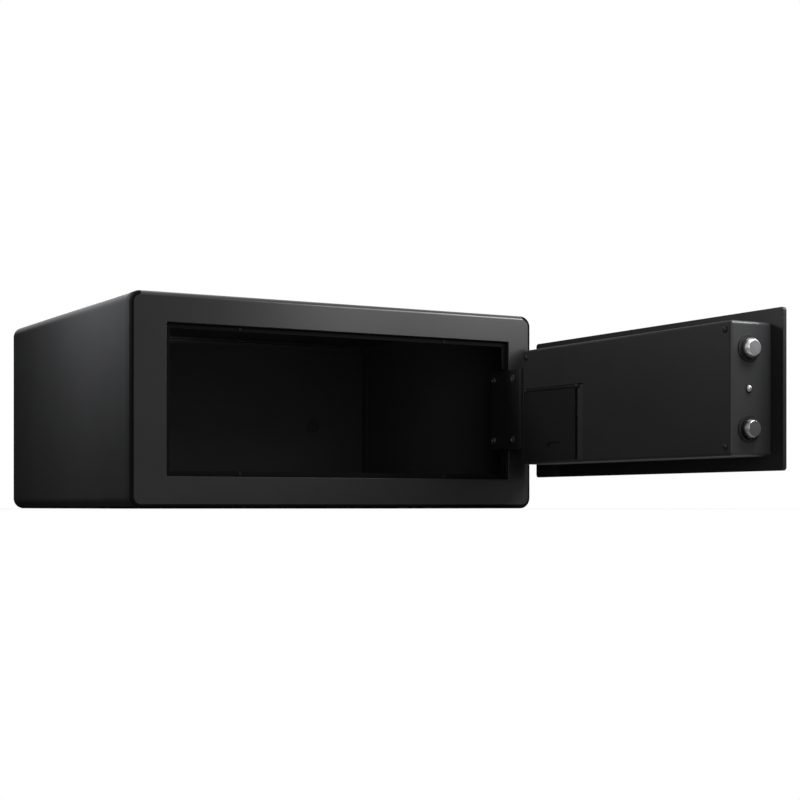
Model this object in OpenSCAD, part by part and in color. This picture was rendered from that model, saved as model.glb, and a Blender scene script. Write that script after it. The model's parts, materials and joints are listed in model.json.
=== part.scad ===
// Desktop biometric safe, modelled with its door open at 90 degrees and its bolts drawn in.
// The origin is the centre of the base: X runs right along the front, Y to the back, Z up.

/* [Body] */
// Outer width of the body
body_w = 440; // [400:1:520]
// Outer height of the body
body_h = 200; // [190:1:260]
// Outer depth of the body
body_d = 370; // [300:1:420]
// Outer radius of the body's four long edges
edge_r = 15; // [12:1:18]
// Thickness of the shell's sheet steel
shell_t = 2; // [1.5:0.1:3]
// Thickness of the front frame's face
face_t = 2.5; // [2:0.1:3]
// Radius that the front frame's outer edge is rounded to
face_edge_r = 4; // [3:0.5:5]
// Depth of the front frame's rim
front_rim_d = 10; // [8:1:14]
// Length of the flange that enters the shell from the front frame and the back panel
rim_flange = 10; // [6:1:14]
// Thickness of those flanges
rim_flange_t = 1.2; // [1:0.1:1.5]
// Depth of the back panel's rim
back_rim_d = 6; // [5:1:8]
// Radius that the back panel's outer edge is rounded to
back_edge_r = 3; // [2:0.5:4]
// Thickness of the floor mat
mat_t = 3; // [2:0.5:4]

/* [Door opening] */
// Width of the stile on the latch side
stile_latch = 36; // [34:1:44]
// Width of the stile on the hinge side
stile_hinge = 28; // [26:1:32]
// Height of the top rail
rail_top = 28; // [26:1:34]
// Height of the bottom rail
rail_bottom = 30; // [26:1:34]
// Thickness of the return round the opening
jamb_t = 2; // [1.5:0.1:2.5]
// Depth of the return round the opening
jamb_d = 8; // [7:0.5:9]
// Width of the stop lip inside the return
stop_w = 5; // [4:0.5:6]
// Thickness of the stop lip
stop_t = 2; // [1.5:0.1:2.2]
// Gap between the closed door and the stop lip
stop_gap = 1.5; // [1:0.1:1.8]
// Radius of the rubber bumpers on the stop lip
bumper_r = 1.9; // [1.5:0.1:2.2]

/* [Door] */
// Thickness of the door plate
door_t = 4; // [3:0.5:5]
// Gap at each end of the closed door
door_gap_side = 4.5; // [4:0.5:6]
// Gap above and below the closed door
door_gap_top = 2; // [1.5:0.5:3]
// Corner radius of the door plate
door_corner_r = 3; // [2:0.5:6]

/* [Hinge] */
// Distance from the hinge pin's axis to the body's side
pivot_inset = 9; // [8.5:0.1:9.5]
// Distance from the hinge pin's axis to the body's front
pivot_depth = 11; // [10.5:0.1:11.5]
// Radius of the hinge pin
hinge_pin_r = 3; // [2.5:0.1:3.4]
// Radius of the hinge knuckles
knuckle_r = 5.5; // [5:0.1:5.8]
// Height of the moving knuckle, and so of the hinge arm
hinge_h = 80; // [60:2:96]
// Height of each fixed knuckle
fixed_knuckle_h = 18; // [12:1:22]
// Thickness of the thrust washers
washer_t = 0.8; // [0.5:0.1:1.2]
// Thickness of the hinge leaf and of the goose-neck arm
arm_t = 3; // [2.5:0.1:3.3]
// Inner reach of the goose-neck from the pin's axis
neck_reach = 25; // [25:0.5:28]
// Distance from the pin's axis to the far leg of the arm
arm_span = 49; // [44:1:52]
// Width of the arm's foot on the door
foot_w = 22; // [16:1:23]

/* [Lock casing] */
// Distance from the door's hinge end to the casing over the lock works
casing_hinge_inset = 38.5; // [36:0.5:41]
// Height of the casing
casing_h = 114; // [112:1:120]
// Depth of the casing behind the door plate
casing_d = 43.5; // [42:0.5:46]
// Distance from the door's latch end to the casing
casing_inset = 15.5; // [13:0.5:18]
// Thickness of the casing's sheet
casing_t = 1.5; // [1:0.1:1.8]
// Outer bend radius of the casing's edges
casing_r = 3; // [2.5:0.1:4]

/* [Bolts] */
// Radius of the locking bolts
bolt_r = 9; // [7:0.5:9.5]
// Height between the two bolts' axes
bolt_spacing = 68; // [62:1:72]
// Distance from the door plate's inner face to the bolts' axes
bolt_depth = 24; // [23.5:0.5:24.5]
// Length that the drawn-in bolts stand out of the casing
bolt_proud = 8; // [6:0.5:9]
// Length of each bolt
bolt_l = 70; // [68:1:74]
// Travel of the bolts
bolt_throw = 22; // [16:1:23]
// Thickness of the bar that joins the bolts
carriage_t = 4; // [3:0.5:5]

/* [Drive] */
// Module of the rack and pinion
gear_module = 1; // [1:1:1]
// Number of teeth on the pinion
pinion_teeth = 18; // [17:1:18]
// Face width of the pinion
pinion_h = 8; // [6:0.5:8.5]
// Distance from the door's latch end to the pinion's axis
pinion_x = 128; // [126:1:132]
// Radius of the gear motor
motor_r = 10; // [8:0.5:10.5]
// Length of the gear motor's gearbox
gearbox_l = 19; // [15:1:21]
// Length of the motor can
motor_l = 20; // [14:1:21]
// Radius of the motor's shaft
shaft_r = 2; // [1.5:0.1:2.2]

/* [Door switch] */
// Radius of the switch plunger
plunger_r = 3.25; // [2.5:0.25:3.5]
// Length that the plunger stands out of the casing
plunger_proud = 3; // [2.5:0.1:3.4]
// Travel of the plunger
plunger_travel = 2.5; // [1.5:0.1:2.5]

/* [Battery compartment] */
// Width of the battery cover
cover_w = 91; // [88:1:92]
// Height of the battery cover
cover_h = 72; // [70:1:74]
// Thickness of the battery cover
cover_t = 2; // [1.5:0.1:2]
// Width of the recessed strip beside the cover
strip_w = 8; // [6:0.5:9]
// Depth of the battery tray
tray_d = 22; // [21:0.5:24]
// Radius of a battery cell
cell_r = 7.1; // [6.9:0.1:7.2]
// Length of a battery cell without its tip
cell_l = 49; // [47:0.5:49.5]
// Number of battery cells
cell_count = 4; // [2:1:4]

/* [Outer face] */
// Width of the reader housing
reader_w = 64; // [56:1:68]
// Height of the reader housing
reader_h = 44; // [40:1:56]
// Depth of the reader housing
reader_d = 12; // [10:0.5:14]
// Radius of the pull knob
knob_r = 15; // [12:1:18]
// Length that the pull knob stands out
knob_l = 24; // [20:1:28]
// Radius of the override lock's barrel
barrel_r = 9.5; // [9:0.1:10]
// Radius of the override lock's plug
plug_r = 6.5; // [6:0.1:6.8]
// Radius of the key cover
key_cover_r = 13; // [12.5:0.5:15]

/* [Anchors] */
// Radius of the anchor holes
anchor_r = 5; // [4:0.5:6]
// Distance between the floor's anchor holes along X
anchor_x = 300; // [240:5:320]
// Distance between the floor's anchor holes along Y
anchor_y = 220; // [180:5:240]
// Height of the rear wall's anchor holes
anchor_z = 100; // [80:5:120]

/* [Hidden] */

$fn = 64;
eps = 0.01;

// Running clearance on a radius, and the small gap between pieces that only lie beside each other
run_gap = 0.05;
fit_gap = 0.02;
seat_gap = 0.3;

// Door opening and door
open_w = body_w - stile_latch - stile_hinge;
open_h = body_h - rail_top - rail_bottom;
open_x = -body_w / 2 + stile_latch;
door_w = open_w - 2 * door_gap_side;
door_h = open_h - 2 * door_gap_top;
mid_z = rail_bottom + open_h / 2;
front_y = -body_d / 2;
pivot_x = body_w / 2 - pivot_inset;
pivot_y = front_y + pivot_depth;
washer_gap = 0.1;
bracket_h = hinge_h + 2 * (washer_t + 2 * washer_gap + fixed_knuckle_h);
hinge_room = bracket_h + 6;

// Depths behind the door's outer face
cover_y = door_t + casing_d;
bolt_y = door_t + bolt_depth;
pitch_r = gear_module * pinion_teeth / 2;
pinion_y = bolt_y - 1 - pitch_r;

// Places along the door from its latch end
tip_x = casing_inset - bolt_proud;
carriage_x = tip_x + bolt_l;
guide_x = [casing_inset + 5, tip_x + bolt_l - bolt_throw - 4];
guide_t = 2.5;
casing_end = door_w - casing_hinge_inset;
casing_l = casing_end - casing_inset;
window_x = casing_end - casing_r - 1 - cover_w;
window_z = -casing_h / 2 + casing_r;
tray_y = cover_y - casing_t - tray_d;
tray_wall = 1.6;
reader_x = 92;
knob_x = 240;
key_x = 152;
key_z = -32;
key_pin_z = key_z + key_cover_r + 4;

// Sections

module rounded(w, h, r) {
    square([w - 2 * r, h], center = true);
    square([w, h - 2 * r], center = true);
    for (x = [-1, 1], y = [-1, 1]) translate([x * (w / 2 - r), y * (h / 2 - r)]) circle(r);
}

// A 2-D section, with its outer edge at x = r, swept round a rounded rectangle
module rim(w, h, r) {
    for (turn = [0:3]) {
        across = turn % 2 == 0 ? w : h;
        along = turn % 2 == 0 ? h : w;
        rotate(90 * turn) translate([across / 2 - r, along / 2 - r, 0]) {
            rotate([90, 0, 0]) linear_extrude(along - 2 * r) children();
            rotate_extrude(angle = 90) children();
        }
    }
}

// Stands a drawing on the front: its X stays, its Y turns up, its Z goes to the back
module upright() {
    rotate([90, 0, 0]) mirror([0, 0, 1]) children();
}

// A cylinder that runs from one depth to another
module rod_y(r, from, to) {
    translate([0, from, 0]) rotate([-90, 0, 0]) cylinder(r = r, h = to - from);
}

// A cylinder that runs along X
module rod_x(r, from, to) {
    translate([from, 0, 0]) rotate([0, 90, 0]) cylinder(r = r, h = to - from);
}

module block(x, y, z) {
    translate([x[0], y[0], z[0]]) cube([x[1] - x[0], y[1] - y[0], z[1] - z[0]]);
}

function unit(v) = v / norm(v);

// Sheet of a given height, bent square at each inner point of its centre line
module bent_sheet(path, t, r, high) {
    last = len(path) - 1;
    for (i = [0:last - 1]) {
        way = unit(path[i + 1] - path[i]);
        side = [-way[1], way[0]] * t / 2;
        from = path[i] + (i == 0 ? 0 : r) * way;
        to = path[i + 1] - (i == last - 1 ? 0 : r) * way;
        linear_extrude(high) polygon([from + side, to + side, to - side, from - side]);
    }
    for (i = [1:last - 1]) {
        way_in = unit(path[i] - path[i - 1]);
        way_out = unit(path[i + 1] - path[i]);
        centre = path[i] - way_in * r + way_out * r;
        reach = 2 * (r + t);
        intersection() {
            translate(centre) difference() {
                cylinder(r = r + t / 2, h = high);
                translate([0, 0, -1]) cylinder(r = r - t / 2, h = high + 2);
            }
            linear_extrude(high) polygon([centre, centre + way_in * reach,
                centre + (way_in - way_out) * reach, centre - way_out * reach]);
        }
    }
}

// Way that a lead runs at a point: along its end runs, and halfway between two runs at a corner
function lead_way(p, i) = i == 0 ? unit(p[1] - p[0])
    : i == len(p) - 1 ? unit(p[i] - p[i - 1])
    : unit(unit(p[i + 1] - p[i]) + unit(p[i] - p[i - 1]));

// Direction square to that way, carried from point to point so that the lead doesn't twist
function lead_side(p, i) = let (
        way = lead_way(p, i),
        before = i == 0 ? [0.48, 0.6, 0.64] : lead_side(p, i - 1))
    unit(before - (before * way) * way);

// A round lead through a list of points: one tube of eight sides
module lead(points, r) {
    sides = 8;
    last = len(points) - 1;
    skin = [for (i = [0:last]) let (u = lead_side(points, i), v = cross(lead_way(points, i), u))
        each [for (k = [0:sides - 1]) points[i] + r * (cos(360 * k / sides) * u + sin(360 * k / sides) * v)]];
    walls = [for (i = [0:last - 1], k = [0:sides - 1])
        let (a = sides * i + k, b = sides * i + (k + 1) % sides)
        each [[a, a + sides, b + sides], [a, b + sides, b]]];
    ends = [[for (k = [0:sides - 1]) k], [for (k = [sides - 1:-1:0]) sides * last + k]];
    polyhedron(skin, concat(walls, ends));
}

// Places

// Closed-door drawing to its open place: X from the latch end, Y from the outer face, Z from mid height
module on_door() {
    translate([pivot_x, pivot_y, mid_z]) rotate(90)
        translate([open_x + door_gap_side - pivot_x, -pivot_depth, 0]) children();
}

// Drawing about the hinge pin's axis, for what moves with the door
module on_hinge() {
    translate([pivot_x, pivot_y, mid_z]) rotate(90) children();
}

// Body

module rim_section(face, round_r, rim_d) {
    inner = edge_r - round_r;
    square([inner, face]);
    intersection() {
        translate([inner, round_r]) circle(round_r);
        translate([inner, 0]) square(round_r);
    }
    translate([inner, round_r]) square([round_r, rim_d - round_r]);
    translate([edge_r - shell_t - run_gap - rim_flange_t, 0]) square([rim_flange_t, rim_d + rim_flange]);
}

module body_shell() {
    color("#26272a") difference() {
        translate([0, front_y + front_rim_d, body_h / 2]) upright()
            linear_extrude(body_d - front_rim_d - back_rim_d) difference() {
                rounded(body_w, body_h, edge_r);
                rounded(body_w - 2 * shell_t, body_h - 2 * shell_t, edge_r - shell_t);
            }
        floor_anchors(anchor_r, 0, shell_t);
    }
}

module floor_anchors(r, low, high) {
    for (x = [-1, 1], y = [-1, 1])
        translate([x * anchor_x / 2, y * anchor_y / 2, low - 1]) cylinder(r = r, h = high - low + 2);
}

module front_frame() {
    color("#2b2c2f") translate([0, front_y, 0]) difference() {
        union() {
            translate([0, 0, body_h / 2]) upright() {
                rim(body_w, body_h, edge_r) rim_section(face_t, face_edge_r, front_rim_d);
                linear_extrude(face_t) square([body_w - 2 * edge_r, body_h - 2 * edge_r], center = true);
            }
            block([open_x - jamb_t, open_x + open_w + jamb_t], [0, jamb_d],
                [rail_bottom - jamb_t, rail_bottom + open_h + jamb_t]);
        }
        block([open_x, open_x + open_w], [-1, jamb_d + 1], [rail_bottom, rail_bottom + open_h]);
        // Room for the hinge between its bracket and the shell
        block([pivot_x, body_w / 2 - shell_t], [face_t, front_rim_d + rim_flange + 1],
            [mid_z - hinge_room / 2, mid_z + hinge_room / 2]);
    }
}

module door_stop() {
    stop_y = front_y + door_t + stop_gap;
    color("#222326") difference() {
        block([open_x, open_x + open_w], [stop_y, stop_y + stop_t], [rail_bottom, rail_bottom + open_h]);
        block([open_x + stop_w, open_x + open_w - stop_w], [stop_y - 1, stop_y + stop_t + 1],
            [rail_bottom + stop_w, rail_bottom + open_h - stop_w]);
        block([open_x + open_w - stop_w - 1, open_x + open_w + 1], [stop_y - 1, stop_y + stop_t + 1],
            [mid_z - hinge_h / 2 - 3, mid_z + hinge_h / 2 + 3]);
    }
}

module door_bumpers() {
    stop_y = front_y + door_t + stop_gap;
    color("#111111") for (x = [0.2, 0.8], z = [rail_bottom + stop_w / 2, rail_bottom + open_h - stop_w / 2])
        translate([open_x + x * open_w, 0, z]) rod_y(bumper_r, stop_y - stop_gap + seat_gap, stop_y);
}

module back_panel() {
    color("#26272a") difference() {
        translate([0, -front_y, body_h / 2]) rotate([90, 0, 0]) {
            rim(body_w, body_h, edge_r) rim_section(shell_t, back_edge_r, back_rim_d);
            linear_extrude(shell_t) square([body_w - 2 * edge_r, body_h - 2 * edge_r], center = true);
        }
        for (x = [-1, 1]) translate([x * anchor_x / 2, 0, anchor_z])
            rod_y(anchor_r, -front_y - shell_t - 1, -front_y + 1);
    }
}

module floor_mat() {
    y0 = front_y + front_rim_d + rim_flange + 2;
    y1 = -front_y - back_rim_d - rim_flange - 2;
    color("#1b1c1e") difference() {
        block([-body_w / 2 + edge_r, body_w / 2 - edge_r], [y0, y1], [shell_t, shell_t + mat_t]);
        floor_anchors(anchor_r + 4, shell_t, shell_t + mat_t);
    }
}

strike_t = 2.5;
strike_foot = 18;
strike_lap = 5;
strike_play = 1;
strike_jamb_gap = 1;
tongue_w = 11;
tongue_gap = 0.4;

// Bent plate behind the latch stile: the bolts enter its holes, and its tongue meets the door switch
module strike_plate() {
    mid = strike_t / 2;
    plate_x = open_x - jamb_t - strike_jamb_gap - strike_t;
    tongue_x = open_x + door_gap_side + casing_inset - plunger_proud - tongue_gap;
    high = bolt_spacing + 4 * bolt_r;
    color("#2b2c2f") difference() {
        translate([0, front_y, mid_z - high / 2]) {
            bent_sheet([[plate_x - strike_foot, face_t + mid], [plate_x + mid, face_t + mid],
                [plate_x + mid, bolt_y + bolt_r + strike_lap]], strike_t, strike_t, high);
            block([plate_x + eps, tongue_x], [bolt_y - mid, bolt_y + mid],
                [(high - tongue_w) / 2, (high + tongue_w) / 2]);
        }
        for (z = [-1, 1]) translate([0, front_y + bolt_y, mid_z + z * bolt_spacing / 2])
            rod_x(bolt_r + strike_play, plate_x - 1, plate_x + strike_t + 1);
    }
}

// Hinge

module fixed_knuckles() {
    for (side = [0, 1]) mirror([0, 0, side]) translate([0, 0, hinge_h / 2 + washer_t + 2 * washer_gap]) {
        cylinder(r = knuckle_r, h = fixed_knuckle_h);
        block([-bracket_plate_t, bracket_plate_t], [-pivot_depth + face_t + 1, 0], [0, fixed_knuckle_h]);
    }
}

bracket_reach = 16;
bracket_plate_t = 2;

module hinge_bracket() {
    color("#3a3b3e") translate([pivot_x, pivot_y, mid_z]) difference() {
        union() {
            fixed_knuckles();
            block([-bracket_reach, knuckle_r - 0.5],
                [-pivot_depth + face_t, -pivot_depth + face_t + bracket_plate_t],
                [-bracket_h / 2, bracket_h / 2]);
        }
        cylinder(r = hinge_pin_r + run_gap, h = bracket_h + 2, center = true);
    }
}

module hinge_pin() {
    head = 2;
    color("silver") translate([pivot_x, pivot_y, mid_z]) {
        translate([0, 0, -bracket_h / 2 - head]) cylinder(r = hinge_pin_r, h = bracket_h + head + eps);
        translate([0, 0, bracket_h / 2]) cylinder(r = hinge_pin_r + 1.5, h = head);
    }
}

module hinge_washers() {
    color("#d8d2c0") for (side = [-1, 1])
        translate([pivot_x, pivot_y, mid_z + side * (hinge_h / 2 + washer_t / 2 + washer_gap) - washer_t / 2])
            difference() {
                cylinder(r = knuckle_r, h = washer_t);
                translate([0, 0, -1]) cylinder(r = hinge_pin_r + run_gap, h = washer_t + 2);
            }
}

arm_holes_x = [-2, -38];
arm_holes_z = [-1, 1] * (hinge_h / 2 - 9);
arm_screw_r = 2;

module hinge_leaf() {
    mid = knuckle_r - arm_t / 2;
    color("#3a3b3e") on_hinge() difference() {
        translate([0, 0, -hinge_h / 2]) {
            cylinder(r = knuckle_r, h = hinge_h);
            bent_sheet([[mid, 0], [mid, neck_reach + arm_t / 2],
                [-arm_span + 3, neck_reach + arm_t / 2]], arm_t, arm_t, hinge_h);
        }
        cylinder(r = hinge_pin_r + run_gap, h = hinge_h + 2, center = true);
        for (x = arm_holes_x, z = arm_holes_z) translate([x, 0, z])
            rod_y(arm_screw_r + run_gap, neck_reach - 1, neck_reach + arm_t + 1);
    }
}

module hinge_arm() {
    leg = -arm_span - arm_t / 2;
    foot_y = -pivot_depth + door_t;
    color("#2b2c2f") on_hinge() difference() {
        translate([0, 0, -hinge_h / 2])
            bent_sheet([[arm_t, neck_reach + 1.5 * arm_t], [leg, neck_reach + 1.5 * arm_t],
                [leg, foot_y + arm_t / 2], [-arm_span + foot_w, foot_y + arm_t / 2]], arm_t, arm_t, hinge_h);
        for (x = arm_holes_x, z = arm_holes_z) translate([x, 0, z])
            rod_y(arm_screw_r + run_gap, neck_reach + arm_t - 1, neck_reach + 2 * arm_t + 1);
        hinge_stud_places() rod_y(arm_screw_r + run_gap, foot_y - 1, foot_y + arm_t + 1);
    }
}

module hinge_stud_places() {
    for (z = [-1, 0, 1]) translate([-arm_span + foot_w / 2, 0, z * (hinge_h / 2 - 12)]) children();
}

module hinge_screws() {
    outer = neck_reach + 2 * arm_t;
    color("silver") on_hinge() for (x = arm_holes_x, z = arm_holes_z) translate([x, 0, z]) {
        rod_y(arm_screw_r, neck_reach + 0.5, outer + eps);
        difference() {
            rod_y(arm_screw_r + 1.8, outer, outer + 1.6);
            translate([0, outer + 1, 0]) rotate([-90, 30, 0]) cylinder(r = 1.5, h = 2, $fn = 6);
        }
    }
}

module hinge_studs() {
    foot_y = -pivot_depth + door_t;
    color("silver") on_hinge() hinge_stud_places() {
        rod_y(arm_screw_r, foot_y, foot_y + arm_t + 4);
        translate([0, foot_y + arm_t, 0]) rotate([-90, 0, 0]) cylinder(r = 4, h = 3, $fn = 6);
    }
}

// Door and casing

module door_plate() {
    color("#2b2c2f") on_door() difference() {
        translate([door_w / 2, 0, 0]) upright() linear_extrude(door_t) rounded(door_w, door_h, door_corner_r);
        translate([reader_x, 0, 0]) rod_y(6, -1, door_t + 1);
        translate([knob_x, 0, 0]) rod_y(knob_stud_r + run_gap, -1, door_t + 1);
        translate([key_x, 0, key_z]) rod_y(barrel_r + run_gap, -1, door_t + 1);
        translate([key_x, 0, key_pin_z]) rod_y(key_pin_r + run_gap, -1, door_t + 1);
    }
}

post_r = 3.5;
post_screw_r = 1.6;
post_screw_l = 8;
screw_head_w = 1.4;
screw_head_h = 1.3;

module post_places() {
    inset = casing_r + post_r + 1;
    for (x = [casing_inset + inset, casing_end - inset], z = [-1, 1])
        if (x < door_w / 2 || z > 0) translate([x, 0, z * (casing_h / 2 - inset)]) children();
}

module inner_cover() {
    color("#222326") on_door() difference() {
        translate([casing_inset + casing_l / 2, cover_y, 0]) rotate([90, 0, 0]) {
            rim(casing_l, casing_h, casing_r) {
                intersection() {
                    translate([0, casing_r]) difference() {
                        circle(casing_r);
                        circle(casing_r - casing_t);
                    }
                    square(casing_r);
                }
                translate([casing_r - casing_t, casing_r]) square([casing_t, casing_d - casing_r]);
            }
            linear_extrude(casing_t)
                square([casing_l - 2 * casing_r, casing_h - 2 * casing_r], center = true);
        }
        block([window_x - strip_w, window_x + cover_w], [cover_y - casing_t - 1, cover_y + 1],
            [window_z, window_z + cover_h]);
        for (z = [-1, 1]) translate([0, bolt_y, z * bolt_spacing / 2])
            rod_x(bolt_r + bush_t + run_gap, casing_inset - 1, casing_inset + casing_t + 1);
        translate([0, bolt_y, 0]) rod_x(plunger_r + 0.4, casing_inset - 1, casing_inset + casing_t + 1);
        post_places() rod_y(post_screw_r + 0.2, cover_y - casing_t - 1, cover_y + 1);
    }
}

module cover_posts() {
    color("silver") on_door() post_places() difference() {
        rod_y(post_r, door_t, cover_y - casing_t);
        rod_y(post_screw_r + run_gap, cover_y - casing_t - post_screw_l - 1, cover_y);
    }
}

module inner_cover_screws() {
    color("silver") on_door() post_places() {
        rod_y(post_screw_r, cover_y - casing_t - post_screw_l, cover_y + eps);
        difference() {
            rod_y(post_screw_r + screw_head_w, cover_y, cover_y + screw_head_h);
            for (turn = [0, 90]) translate([0, cover_y + screw_head_h, 0]) rotate([0, turn, 0])
                cube([2 * post_screw_r, screw_head_h, 0.4 * post_screw_r], center = true);
        }
    }
}

// Bolt works

bush_t = 1.6;
bar_half = bolt_spacing / 2 + bolt_r + 2;

module bolt_guide() {
    high = bolt_spacing + 2 * bolt_r + 3;
    deep = bolt_y + bolt_r + 4;
    base = door_t + guide_t / 2;
    color("#b9bcc0") on_door() difference() {
        translate([0, 0, -high / 2]) bent_sheet([[guide_x[0] + guide_t / 2, deep],
            [guide_x[0] + guide_t / 2, base], [guide_x[1] - guide_t / 2, base],
            [guide_x[1] - guide_t / 2, deep]], guide_t, guide_t, high);
        for (z = [-1, 1]) translate([0, bolt_y, z * bolt_spacing / 2])
            rod_x(bolt_r + run_gap, guide_x[0] - 1, guide_x[1] + 1);
        block([guide_x[0] - 1, guide_x[1] + 1], [door_t + guide_t + eps, deep + 1], [-14, 14]);
    }
}

module bolt_bushes() {
    color("#161616") on_door() for (z = [-1, 1]) translate([0, bolt_y, z * bolt_spacing / 2])
        difference() {
            union() {
                rod_x(bolt_r + bush_t, casing_inset, guide_x[0] - seat_gap);
                rod_x(bolt_r + bush_t + 1.2, casing_inset - 1, casing_inset);
            }
            rod_x(bolt_r + run_gap, casing_inset - 2, guide_x[0] + 1);
        }
}

module locking_bolt() {
    chamfer = 1.2;
    on_door() translate([tip_x, bolt_y, 0]) rotate([0, 90, 0]) difference() {
        union() {
            cylinder(r1 = bolt_r - chamfer, r2 = bolt_r, h = chamfer);
            translate([0, 0, chamfer]) cylinder(r = bolt_r, h = bolt_l - chamfer);
        }
        translate([0, 0, bolt_l - bolt_screw_l - 2])
            cylinder(r = bolt_screw_r + run_gap, h = bolt_screw_l + 3);
    }
}

module locking_bolt_upper() {
    color("silver") translate([0, 0, bolt_spacing / 2]) locking_bolt();
}

module locking_bolt_lower() {
    color("silver") translate([0, 0, -bolt_spacing / 2]) locking_bolt();
}

bolt_screw_r = 2.5;
bolt_screw_l = 10;
socket_head_w = 1.8;
socket_head_h = 3;

module bolt_screws() {
    back = carriage_x + carriage_t;
    color("#8a8d90") on_door() for (z = [-1, 1]) translate([0, bolt_y, z * bolt_spacing / 2]) {
        rod_x(bolt_screw_r, carriage_x - bolt_screw_l, back + eps);
        difference() {
            rod_x(bolt_screw_r + socket_head_w, back, back + socket_head_h);
            translate([back + 0.4 * socket_head_h, 0, 0]) rotate([0, 90, 0])
                cylinder(r = 0.8 * bolt_screw_r, h = socket_head_h, $fn = 6);
        }
    }
}

// Half the angle-free width of a rack tooth at a height over the pitch line
function rack_half(height) = gear_module * PI / 4 - rack_backlash - height * tan(20);
rack_backlash = 0.06;
rack_spare = 12;
rack_from = pinion_x - rack_spare;
rack_to = pinion_x + bolt_throw + rack_spare;
rack_bar_t = 5;
carriage_half = 8;

module rack_teeth() {
    pitch = gear_module * PI;
    foot = 1.25 * gear_module;
    // A tooth space of the rack faces the pinion's tooth on the line between their centres
    for (i = [-ceil((pinion_x - rack_from) / pitch):ceil((rack_to - pinion_x) / pitch) - 1])
        translate([pinion_x + (i + 0.5) * pitch, pitch_line_y])
            polygon([[-rack_half(-foot) , foot + eps], [-rack_half(gear_module), -gear_module],
                [rack_half(gear_module), -gear_module], [rack_half(-foot), foot + eps]]);
}

pitch_line_y = pinion_y + pitch_r;

module bolt_carriage() {
    root_y = pitch_line_y + 1.25 * gear_module;
    half = pinion_h / 2 + 0.5;
    color("#b9bcc0") on_door() difference() {
        union() {
            block([carriage_x, carriage_x + carriage_t], [bolt_y - carriage_half, bolt_y + carriage_half],
                [-bar_half, bar_half]);
            block([carriage_x, rack_to + 2], [root_y, root_y + rack_bar_t], [-half, half]);
            translate([0, 0, -half]) linear_extrude(2 * half) rack_teeth();
        }
        for (z = [-1, 1]) translate([0, bolt_y, z * bolt_spacing / 2])
            rod_x(bolt_screw_r + run_gap, carriage_x - 1, carriage_x + carriage_t + 1);
    }
}

// Involute pinion

function involute(base_r, roll) = base_r * [cos(roll) + roll * PI / 180 * sin(roll),
    sin(roll) - roll * PI / 180 * cos(roll)];
function turned(p, a) = [p[0] * cos(a) - p[1] * sin(a), p[0] * sin(a) + p[1] * cos(a)];

module pinion_outline() {
    base_r = pitch_r * cos(20);
    tip_r = pitch_r + gear_module;
    root_r = pitch_r - 1.25 * gear_module;
    roll_tip = sqrt(pow(tip_r / base_r, 2) - 1) * 180 / PI;
    roll_pitch = sqrt(pow(pitch_r / base_r, 2) - 1) * 180 / PI;
    pitch_turn = roll_pitch - atan(roll_pitch * PI / 180);
    half = 90 / pinion_teeth - rack_backlash / pitch_r * 180 / PI + pitch_turn;
    steps = 8;
    flank = [for (i = [0:steps]) turned(involute(base_r, roll_tip * i / steps), -half)];
    other = [for (i = [steps:-1:0]) [flank[i][0], -flank[i][1]]];
    circle(root_r);
    for (k = [0:pinion_teeth - 1]) rotate(90 + 360 / pinion_teeth * k)
        polygon(concat([[root_r * 0.9, flank[0][1]]], flank, other, [[root_r * 0.9, -flank[0][1]]]));
}

module drive_pinion() {
    color("#c9b458") on_door() translate([pinion_x, pinion_y, -pinion_h / 2]) difference() {
        linear_extrude(pinion_h) pinion_outline();
        translate([0, 0, -1]) cylinder(r = shaft_r + fit_gap, h = pinion_h + 2);
    }
}

bracket_t = 1.6;
bracket_z = 6;
motor_z = bracket_z + bracket_t;

module motor_shaft() {
    color("silver") on_door() translate([pinion_x, pinion_y, -pinion_h / 2 - 1])
        cylinder(r = shaft_r, h = pinion_h / 2 + 1 + motor_z + 3);
}

module drive_motor() {
    color("#9a9da0") on_door() translate([pinion_x, pinion_y, motor_z]) difference() {
        union() {
            cylinder(r = motor_r, h = gearbox_l);
            translate([0, 0, gearbox_l]) cylinder(r = motor_r - 0.6, h = motor_l);
            translate([0, 0, gearbox_l + motor_l]) cylinder(r = 3, h = 2);
        }
        translate([0, 0, -1]) cylinder(r = shaft_r + run_gap, h = 5);
        for (x = [-1, 1]) translate([x * 6, 0, -1]) cylinder(r = 1 + run_gap, h = 6);
    }
}

module motor_bracket() {
    color("#b9bcc0") on_door() difference() {
        translate([pinion_x - 11, 0, 0]) rotate([90, 0, 90])
            bent_sheet([[pinion_y + motor_r, bracket_z + bracket_t / 2],
                [door_t + bracket_t / 2, bracket_z + bracket_t / 2],
                [door_t + bracket_t / 2, bracket_z + 36]], bracket_t, bracket_t, 22);
        translate([pinion_x, pinion_y, bracket_z - 1]) cylinder(r = shaft_r + 1, h = bracket_t + 2);
        for (x = [-1, 1]) translate([pinion_x + x * 6, pinion_y, bracket_z - 1])
            cylinder(r = 1 + run_gap, h = bracket_t + 2);
    }
}

module motor_screws() {
    color("silver") on_door() for (x = [-1, 1]) translate([pinion_x + x * 6, pinion_y, bracket_z]) {
        translate([0, 0, -0.9]) cylinder(r = 1.9, h = 0.9);
        cylinder(r = 1, h = bracket_t + 4);
    }
}

// Door switch

collar_t = 1.2;
spring_wire_r = 0.35;
spring_turns = 6;
spring_packed = 2 * spring_wire_r * (spring_turns + 1);
switch_mouth = 1.5;
switch_back = 1;
switch_front = guide_x[0] + guide_t + 2;
plunger_end = switch_front + switch_mouth + washer_gap + collar_t;
spring_end = plunger_end + 2.5 * plunger_travel + spring_packed;
switch_x = [switch_front, spring_end + switch_back];

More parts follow.
